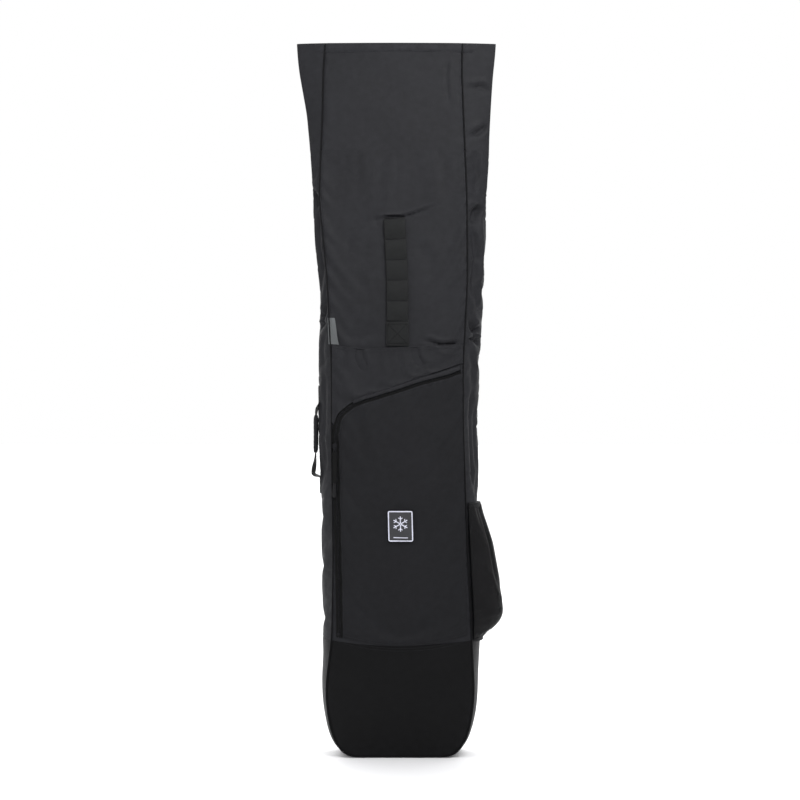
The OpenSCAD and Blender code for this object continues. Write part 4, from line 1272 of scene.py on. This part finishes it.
def add_handle(panels):
    low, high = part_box("handle_webbing")
    z0, z1 = low.z / MM, high.z / MM
    stand = 8.0
    points = []
    for f, off in ((-0.02, 0.3), (-0.005, 1.2), (0.02, 2.4), (0.1, 2.3), (0.25, 1.85), (0.5, 1.6), (0.8, 1.5),
                   (0.92, 1.2), (0.97, 0.7), (1.02, 0.3)):
        z = z0 + f * (z1 - z0)
        points.append((side_x(z, -1) - stand * off, 0.0, z))
    path = resample(rounded_line(np.array(points)) * MM, 4 * MM)[0]
    out = np.array([-1.0, 0.0, 0.0])
    across, normal = path_frame(path, out)
    share = np.linspace(0, 1, len(path))[:, None]
    twist = 20 * np.exp(-(((share - 0.16) / 0.12) ** 2)) + 10 * np.exp(-(((share - 0.9) / 0.08) ** 2))
    c, s = np.cos(np.radians(twist)), np.sin(np.radians(twist))
    across, normal = c * across + s * normal, c * normal - s * across
    strap = sweep("handle_webbing", path - normal * MM, across, normal, tape_section(25, 2.0), ("webbing",))
    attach(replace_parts(strap, "handle_webbing"), "side_handle")
    # Padded grip wrapped round the webbing, pinched and sewn round at its ends.
    middle = [p for p in path if z0 + 0.3 * (z1 - z0) < p[2] / MM < z0 + 0.86 * (z1 - z0)]
    middle = resample(np.array(middle), 3 * MM)[0]
    across, normal = path_frame(middle, out)
    share = np.linspace(0, 1, len(middle))
    fat = 0.72 + 0.28 * np.clip(np.sin(math.pi * share) * 3.0, 0, 1)
    rows = []
    for i, centre in enumerate(middle):
        a = np.linspace(0, 2 * math.pi, 28, endpoint=False)
        e = 2 / 2.8
        u = np.sign(np.cos(a)) * np.abs(np.cos(a)) ** e * 14.5 * fat[i]
        v = np.sign(np.sin(a)) * np.abs(np.sin(a)) ** e * 5.6 * fat[i] + 0.25 * math.sin(i * 1.7)
        rows.append(centre + (u[:, None] * across[i] + v[:, None] * normal[i]) * MM)
    grip_points = np.stack(rows)
    n, m = grip_points.shape[:2]
    around = np.linspace(0, 0.1, m)
    uv = np.stack([np.broadcast_to(around, (n, m)), grip_points[..., 2]], -1)
    grip = make_mesh("handle_grip", grip_points, faces_of(n, m, closed_cols=True), uv, ("pocket_cloth",),
                     wear=np.full((n, m), 0.25), caps=[list(range(m))[::-1], list(range((n - 1) * m, n * m))])
    grip.modifiers.new("smooth", "SUBSURF").render_levels = 1
    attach(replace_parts(grip, "handle_grip"), "side_handle")
    seams = []
    for end in (4, -5):
        ring = np.concatenate([grip_points[end], grip_points[end][:1]])
        centre = grip_points[end].mean(0)
        seams.append((ring, unit(ring - centre)))
    sewing = stitches("handle_stitches", seams, look="dark_thread", pitch=2.6, length=2.0)
    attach(sewing, "side_handle")

    anchors, seams = [], []
    for z, lo, hi in ((z1 + 21, z1 + 1, z1 + 41), (z0 - 21, z0 - 41, z0 - 1)):
        zs = np.linspace(lo, hi, 14)
        at = np.array([(side_x(h, -1) - 1.4, 0.0, h) for h in zs]) * MM
        across, normal = path_frame(at, out)
        anchors.append(sweep("anchor", at, across, normal, tape_section(25, 3.2), ("webbing",)))
        h0, h1 = lo + 5, hi - 5
        box_and_cross = (((-9, h0), (9, h0)), ((9, h0), (9, h1)), ((9, h1), (-9, h1)),
                         ((-9, h1), (-9, h0)), ((-9, h0), (9, h1)), ((-9, h1), (9, h0)))
        for (ya, za), (yb, zb) in box_and_cross:
            s = np.linspace(0, 1, 20)
            pts = np.array([(side_x(za + (zb - za) * q, -1) - 4.7, ya + (yb - ya) * q, za + (zb - za) * q)
                            for q in s]) * MM
            seams.append((pts, np.broadcast_to(out, pts.shape)))
    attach(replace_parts(join("handle_anchors", anchors), "handle_anchors"), "bag")
    sewing = stitches("anchor_stitches", seams, look="thread", pitch=2.6, length=2.0)
    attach(sewing, "bag")


# ---------------------------------------------------------------- shoulder straps

STRAP_TOP, STRAP_LOW = 1000.0, 612.0
STRAP_X = [(0, 44), (0.3, 66), (0.6, 84), (1, 84)]
STRAP_OFF = [(0, 8), (0.15, 16), (0.4, 32), (0.62, 39), (0.85, 34), (1, 26)]
STRAP_WIDTH = [(0, 0.72), (0.15, 0.92), (0.5, 1), (0.85, 0.86), (1, 0.6)]


def table(pairs, f):
    return np.interp(f, [p[0] for p in pairs], [p[1] for p in pairs])


def back_y(x, z):
    z = np.asarray(z, float)
    p = (x - column(z, 4) - column(z, 6)) / half_width(z)
    return surface("back", z, p)[..., 1]


def smooth_table(pairs, f):
    grid = np.linspace(-0.3, 1.3, 161)
    kernel = np.exp(-0.5 * (np.arange(-12, 13) / 6.0) ** 2)
    padded = np.pad(table(pairs, np.clip(grid, 0, 1)), 12, mode="edge")
    raw = np.convolve(padded, kernel / kernel.sum(), "valid")
    return np.interp(f, grid, raw)


def strap_centre(f, side):
    z = STRAP_TOP + f * (STRAP_LOW - STRAP_TOP)
    x = side * smooth_table(STRAP_X, f)
    return np.stack([x, back_y(x, z) + smooth_table(STRAP_OFF, f), z], -1)


def make_pad(side):
    """Foam pad between two cloths, swollen by a short pressure simulation."""
    name = "left_pad" if side < 0 else "right_pad"
    f = np.linspace(-0.04, 1.0, 72)
    tuck = np.clip((0.14 - f) / 0.18, 0, 1) ** 1.5
    centre = strap_centre(f, side) + np.array([0, 6.0, 0]) - np.stack([0 * f, 10.5 * tuck, 0 * f], 1)
    tangent = unit(np.gradient(centre, axis=0))
    across = unit(np.cross(np.cross(tangent, [1.0, 0, 0]), tangent))
    across = np.broadcast_to(np.array([1.0, 0, 0]), tangent.shape)
    normal = unit(np.cross(tangent, across))
    normal = normal * np.sign(normal[:, 1:2])
    half = 30.0 * table(STRAP_WIDTH, f)
    rows = []
    for i in range(len(f)):
        u = np.linspace(-1, 1, 15)
        end = 0.75 + 0.25 * min(1.0, 8 * (1 - f[i]) + 0.1)
        thick = 4.6 * (1 - 0.55 * np.abs(u) ** 6) * (1 - 0.45 * tuck[i]) * end
        top = centre[i] + (u[:, None] * half[i]) * across[i] + thick[:, None] * normal[i]
        low = centre[i] + (u[::-1, None] * half[i]) * across[i] - thick[::-1, None] * normal[i]
        rows.append(np.concatenate([top, low]))
    points = np.stack(rows) * MM
    n, m = points.shape[:2]
    quads = faces_of(n, m, closed_cols=True)
    caps = [list(range(m))[::-1], list(range((n - 1) * m, n * m))]
    pad = make_mesh(name, points, quads, None, ("pocket_cloth",), caps=caps)
    remesh = pad.modifiers.new("remesh", "REMESH")
    remesh.mode, remesh.voxel_size = "VOXEL", 0.0045
    depsgraph = bpy.context.evaluated_depsgraph_get()
    data = bpy.data.meshes.new_from_object(pad.evaluated_get(depsgraph))
    pad.modifiers.clear()
    pad.data = data
    before = np.array([v.co for v in data.vertices])
    cloth = pad.modifiers.new("cloth", "CLOTH")
    cloth.settings.use_pressure, cloth.settings.uniform_pressure_force = True, 4.0
    cloth.settings.effector_weights.gravity = 0
    cloth.settings.quality = 5
    cloth.collision_settings.use_collision = False
    scene = bpy.context.scene
    for i in range(1, 19):
        scene.frame_set(i)
    depsgraph = bpy.context.evaluated_depsgraph_get()
    after = np.zeros(len(before) * 3, np.float32)
    pad.evaluated_get(depsgraph).data.vertices.foreach_get("co", after)
    moved = after.reshape(-1, 3) - before
    far = np.linalg.norm(moved, axis=1, keepdims=True)
    limit = 0.0025
    after = before + moved * (limit * np.tanh(far / limit) / np.maximum(far, 1e-9))
    pad.modifiers.clear()
    pad.data.vertices.foreach_set("co", after.astype(np.float32).ravel())
    scene.frame_set(1)
    pad.data.polygons.foreach_set("use_smooth", np.full(len(pad.data.polygons), True))
    # The weave follows the strap's own length and width.
    co = np.array([v.co for v in pad.data.vertices])
    layer = pad.data.uv_layers.get("UVMap") or pad.data.uv_layers.new(name="UVMap")
    index = np.zeros(len(pad.data.loops), int)
    pad.data.loops.foreach_get("vertex_index", index)
    layer.data.foreach_set("uv", co[index][:, [0, 2]].astype(np.float32).ravel())
    if not pad.data.materials:
        pad.data.materials.append(LOOKS["pocket_cloth"])
    pad.modifiers.new("smooth", "SUBSURF").render_levels = 1
    return pad, centre * MM, across, normal, half


def add_shoulder_straps(panels):
    for side, name in ((-1, "left"), (1, "right")):
        body = name + "_shoulder_strap"
        pad, centre, across, normal, half = make_pad(side)
        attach(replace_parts(pad, name + "_shoulder_pad"), body)
        # Bound edge round the pad
        reach = across * (half * MM)[:, None]
        edge = np.concatenate([centre + reach, (centre - reach)[::-1]])
        edge = np.concatenate([edge, edge[:1]])
        rim = resample(edge, 5 * MM)[0][:-1]
        hint = np.array([0.0, 1.0, 0.0])
        t = unit(np.roll(rim, -1, 0) - np.roll(rim, 1, 0))
        a = unit(np.cross(t, hint))
        b = unit(np.cross(a, t))
        turns = np.linspace(0, 2 * math.pi, 10, endpoint=False)
        section = [(2.2 * math.cos(q), 3.6 * math.sin(q)) for q in turns]
        binding = sweep(name + "_pad_binding", rim, a, b, section, ("binding",), closed=True)
        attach(binding, body)
        # Webbing sewn down the middle of the pad and into the ladder lock
        keep = slice(3, len(centre))
        rise = np.interp(np.arange(len(centre)), [0, 3, 12, len(centre)], [3.4, 3.4, 6.2, 6.4])
        lift = rise[keep, None] * MM
        lock_low, lock_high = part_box(name + "_ladder_lock")
        lock = np.array((lock_low + lock_high) / 2)
        path = centre[keep] + normal[keep] * lift
        into_lock = [[lock[0], lock[1] + 0.0045, lock_high.z + 0.004],
                     [lock[0], lock[1] + 0.003, lock_high.z - 0.006]]
        path = np.concatenate([path, into_lock])
        path = resample(path, 5 * MM)[0]
        c, n = path_frame(path, hint)
        strap = sweep(name + "_pad_webbing", path, c, n, tape_section(25, 1.8), ("webbing",))
        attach(strap, body)
        seams = []
        for inset in (-9.5, 9.5):
            seams.append((path[2:-6] + c[2:-6] * inset * MM + n[2:-6] * 1.9 * MM, n[2:-6]))
        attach(stitches(name + "_pad_stitches", seams), body)
        # Lower webbing to the anchor, and the loose end with a folded hem
        for node, flare in ((name + "_lower_webbing", 0), (name + "_tail", 1)):
            low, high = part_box(node)
            if flare:
                top = np.array([lock[0], lock[1] + 0.0042, high.z])
                pts = [top + np.array([0, 0.005 * math.sin(math.pi * q) + 0.001 * q, -(high.z - low.z) * q])
                       for q in np.linspace(0, 1, 14)]
                pts += [pts[-1] + np.array([0, 0.0028, 0.001]), pts[-1] + np.array([0, 0.0032, 0.018])]
            else:
                x_low = low.x if side < 0 else high.x
                foot_x = x_low - side * 0.0125
                foot_y = back_y(x_low / MM - side * 12.5, low.z / MM) * MM + 0.0045
                foot = np.array([foot_x, foot_y, low.z])
                head = np.array([lock[0], lock[1] - 0.001, high.z])
                pts = [foot + (head - foot) * q + np.array([0, 0.005 * math.sin(math.pi * q), 0])
                       for q in np.linspace(0, 1, 14)]
            pts = np.array(pts)
            c, n = path_frame(pts, hint)
            c = np.broadcast_to(unit(c.mean(0)), c.shape)
            piece = sweep(node, pts, c, n, tape_section(24 if flare else 25, 1.8), ("webbing",))
            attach(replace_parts(piece, node), body)
        lock_node = frame["nodes"][name + "_ladder_lock"]
        dress(lock_node, "plastic")
    add_yoke(panels)


def add_yoke(panels):
    """Padded yoke that the shoulder straps are sewn under, and the patches at their lower ends."""
    back = panels["back"][0]
    up, s = np.linspace(0, 1, 26)[:, None], np.linspace(1, -1, 33)[None, :]
    z = STRAP_TOP + 5 + 62 * up + 0 * s
    x = s * (84 - 26 * up)
    swell = np.clip(np.minimum(np.minimum(up * 20, (1 - up) * 5), (1 - np.abs(s)) * 6), 0, 1) ** 0.5
    rise = 1.2 + (4.0 + 6.5 * (1 - up) ** 1.5) * swell
    p = (x - column(z, 4) - column(z, 6)) / half_width(z)
    at, _ = back.at(p, z, rise)
    yoke = sheet_mesh("yoke", at, ("heavy_cloth",), 1.5, np.full(z.shape, 0.2))
    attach(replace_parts(yoke, "yoke"), "bag")
    seams = []
    inset = [(0.06, 0.06), (0.94, 0.06), (0.94, 0.94), (0.06, 0.94), (0.06, 0.06)]
    for (a0, b0), (a1, b1) in zip(inset[:-1], inset[1:]):
        q = np.linspace(0, 1, 60)
        uu, ss = b0 + (b1 - b0) * q, 1 - 2 * (a0 + (a1 - a0) * q)
        zz = STRAP_TOP + 5 + 62 * uu
        xx = ss * (84 - 26 * uu)
        pp = (xx - column(zz, 4) - column(zz, 6)) / half_width(zz)
        seams.append(back.at(pp, zz, 3.9 + 5.0 * (1 - uu) ** 1.5))
    patches = []
    for side in (-1, 1):
        low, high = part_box("lower_anchors")
        z0, z1 = low.z / MM, high.z / MM
        up2, q = np.linspace(0, 1, 14)[:, None], np.linspace(0, 1, 14)[None, :]
        z = z0 + (z1 - z0) * up2 + 0 * q
        w = 14 + 12 * up2
        outer = high.x / MM if side > 0 else low.x / MM
        x = outer - side * w * q if side > 0 else outer + w * (1 - q) * 1.0
        x = x if side > 0 else outer + w * (1 - q)
        p = (x - column(z, 4) - column(z, 6)) / half_width(z)
        at, _ = back.at(p, z, 3.4)
        patches.append(sheet_mesh("patch", at, ("heavy_cloth",), 2.6, np.full(z.shape, 0.2)))
    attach(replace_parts(join("lower_anchors", patches), "lower_anchors"), "bag")
    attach(stitches("yoke_stitches", seams), "bag")


# ---------------------------------------------------------------- closure strap


def dress(obj, look):
    """Gives a CAD node its finish."""
    obj.data.materials.clear()
    obj.data.materials.append(LOOKS[look])


def add_closure(panels):
    bar = np.array(JOINTS["closure_hook_swing"]["pos_m"])
    x = bar[0]
    z_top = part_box("closure_webbing")[1].z
    z = np.linspace(z_top, bar[2] + 0.006, 30)
    f = (z_top - z) / (z_top - bar[2])
    y = back_y(x / MM, z / MM) * MM + (4.0 + 2.0 * f) * MM
    # Down the strap's back face, round the bar and up again.
    down = np.stack([np.full(30, x), y, z], 1)
    loop = [bar + np.array([0, 0.0031 * math.cos(a), 0.0031 * math.sin(a)])
            for a in np.radians(np.linspace(160, 380, 12))]
    up = [np.array([x, bar[1] + 0.0034, bar[2] + h]) for h in (0.006, 0.012, 0.022, 0.034)]
    path = resample(np.concatenate([down[:-1], loop, up]), 3 * MM)[0]
    tangent = unit(np.gradient(path, axis=0))
    across = np.broadcast_to(np.array([1.0, 0, 0]), path.shape)
    normal = unit(np.cross(across, tangent))
    section = [(a, b - 0.7) for a, b in tape_section(25, 1.4)]
    strap = sweep("closure_webbing", path, across, normal, section, ("webbing",))
    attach(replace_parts(strap, "closure_webbing"), "closure_strap")
    dress(frame["nodes"]["closure_adjuster"], "plastic")
    dress(frame["nodes"]["closure_hook"], "metal")
    # Sewn patch that holds the strap's top
    a_low, a_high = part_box("closure_anchor")
    zz = np.linspace(a_low.z / MM, a_high.z / MM, 8)
    body = panels["back"][1]
    up2, q = zz[:, None], np.linspace(16, -16, 10)[None, :]
    xx = x / MM + q + 0 * up2
    p = (xx - column(up2, 4) - column(up2, 6)) / half_width(up2)
    at = body.at(p, up2 + 0 * q, 3.0)[0]
    patch = sheet_mesh("closure_anchor", at, ("heavy_cloth",), 2.2, np.full(xx.shape, 0.2))
    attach(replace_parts(patch, "closure_anchor"), "collar")
    seams = []
    box_and_cross = (((-13, 4), (13, 4)), ((13, 4), (13, 20)), ((13, 20), (-13, 20)),
                     ((-13, 20), (-13, 4)), ((-13, 4), (13, 20)), ((-13, 20), (13, 4)))
    for (xa, za), (xb, zb) in box_and_cross:
        s = np.linspace(0, 1, 24)
        px, pz = x / MM + xa + (xb - xa) * s, zz[0] + za + (zb - za) * s
        pp = (px - column(pz, 4) - column(pz, 6)) / half_width(pz)
        seams.append(body.at(pp, pz, 3.1))
    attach(stitches("closure_stitches", seams, pitch=2.6, length=2.0), "collar")


def add_zip_parts():
    dress(frame["nodes"]["zip_slider"], "zip_black")
    dress(frame["nodes"]["zip_stops"], "zip_black")
    pivot = np.array(JOINTS["zip_pull_swing"]["pos_m"])
    x, y = pivot[0], pivot[1]
    # Wire link under the slider's bridge
    bends = ((-2.6, -10), (-2.6, 0), (2.6, 0), (2.6, -10), (1.8, -13), (-1.8, -13))
    link = [(x + dx * MM, y, pivot[2] + dz * MM) for dx, dz in bends]
    parts = [tube("link", resample(np.array(link + link[:1]), 1.2 * MM)[0], 0.75, ("zip_black",), sides=8)]
    # Ribbon that hangs from the link
    ribbon = []
    for q in np.linspace(0, 1, 16):
        ribbon.append((x, y + 0.0006 * math.sin(5 * q) - 0.001, pivot[2] - 0.012 - 0.07 * q))
    ribbon = np.array(ribbon)
    across, normal = path_frame(ribbon, np.array([0.0, -1.0, 0.0]))
    parts.append(sweep("ribbon", ribbon, across, normal, tape_section(9, 1.8, 4), ("zip_tape",)))
    # Moulded end
    rows = []
    for r, h in ((0.3, -114.5), (2.6, -114.0), (3.9, -112), (4.2, -106), (3.9, -98),
                 (3.5, -90), (3.0, -82), (2.4, -79), (0.3, -78)):
        a = np.linspace(0, 2 * math.pi, 20, endpoint=False)
        level = np.full(20, pivot[2] + (h - 1) * MM)
        rows.append(np.stack([x + r * 1.15 * MM * np.cos(a), y + r * 0.8 * MM * np.sin(a), level], 1))
    grid = np.stack(rows)
    n, m = grid.shape[:2]
    parts.append(make_mesh("end", grid, faces_of(n, m, closed_cols=True), None, ("plastic",),
                           caps=[list(range(m))[::-1], list(range((n - 1) * m, n * m))]))
    pull = join("zip_pull", parts)
    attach(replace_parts(pull, "zip_pull"), "zip_pull")
    dress(frame["nodes"]["base_board"], "plastic")


# ---------------------------------------------------------------- put together

make_camera()
make_stage()
make_materials()
panels = make_shell()
add_shell_pieces(panels)
base = make_base()
add_piping(panels)
add_seam_stitches(panels, base)
add_hem()
add_pocket(panels)
add_daisy_chain(panels)
add_label(panels)
add_side_tag(panels)
add_mesh_pocket()
add_handle(panels)
add_shoulder_straps(panels)
add_closure(panels)
add_zip_parts()
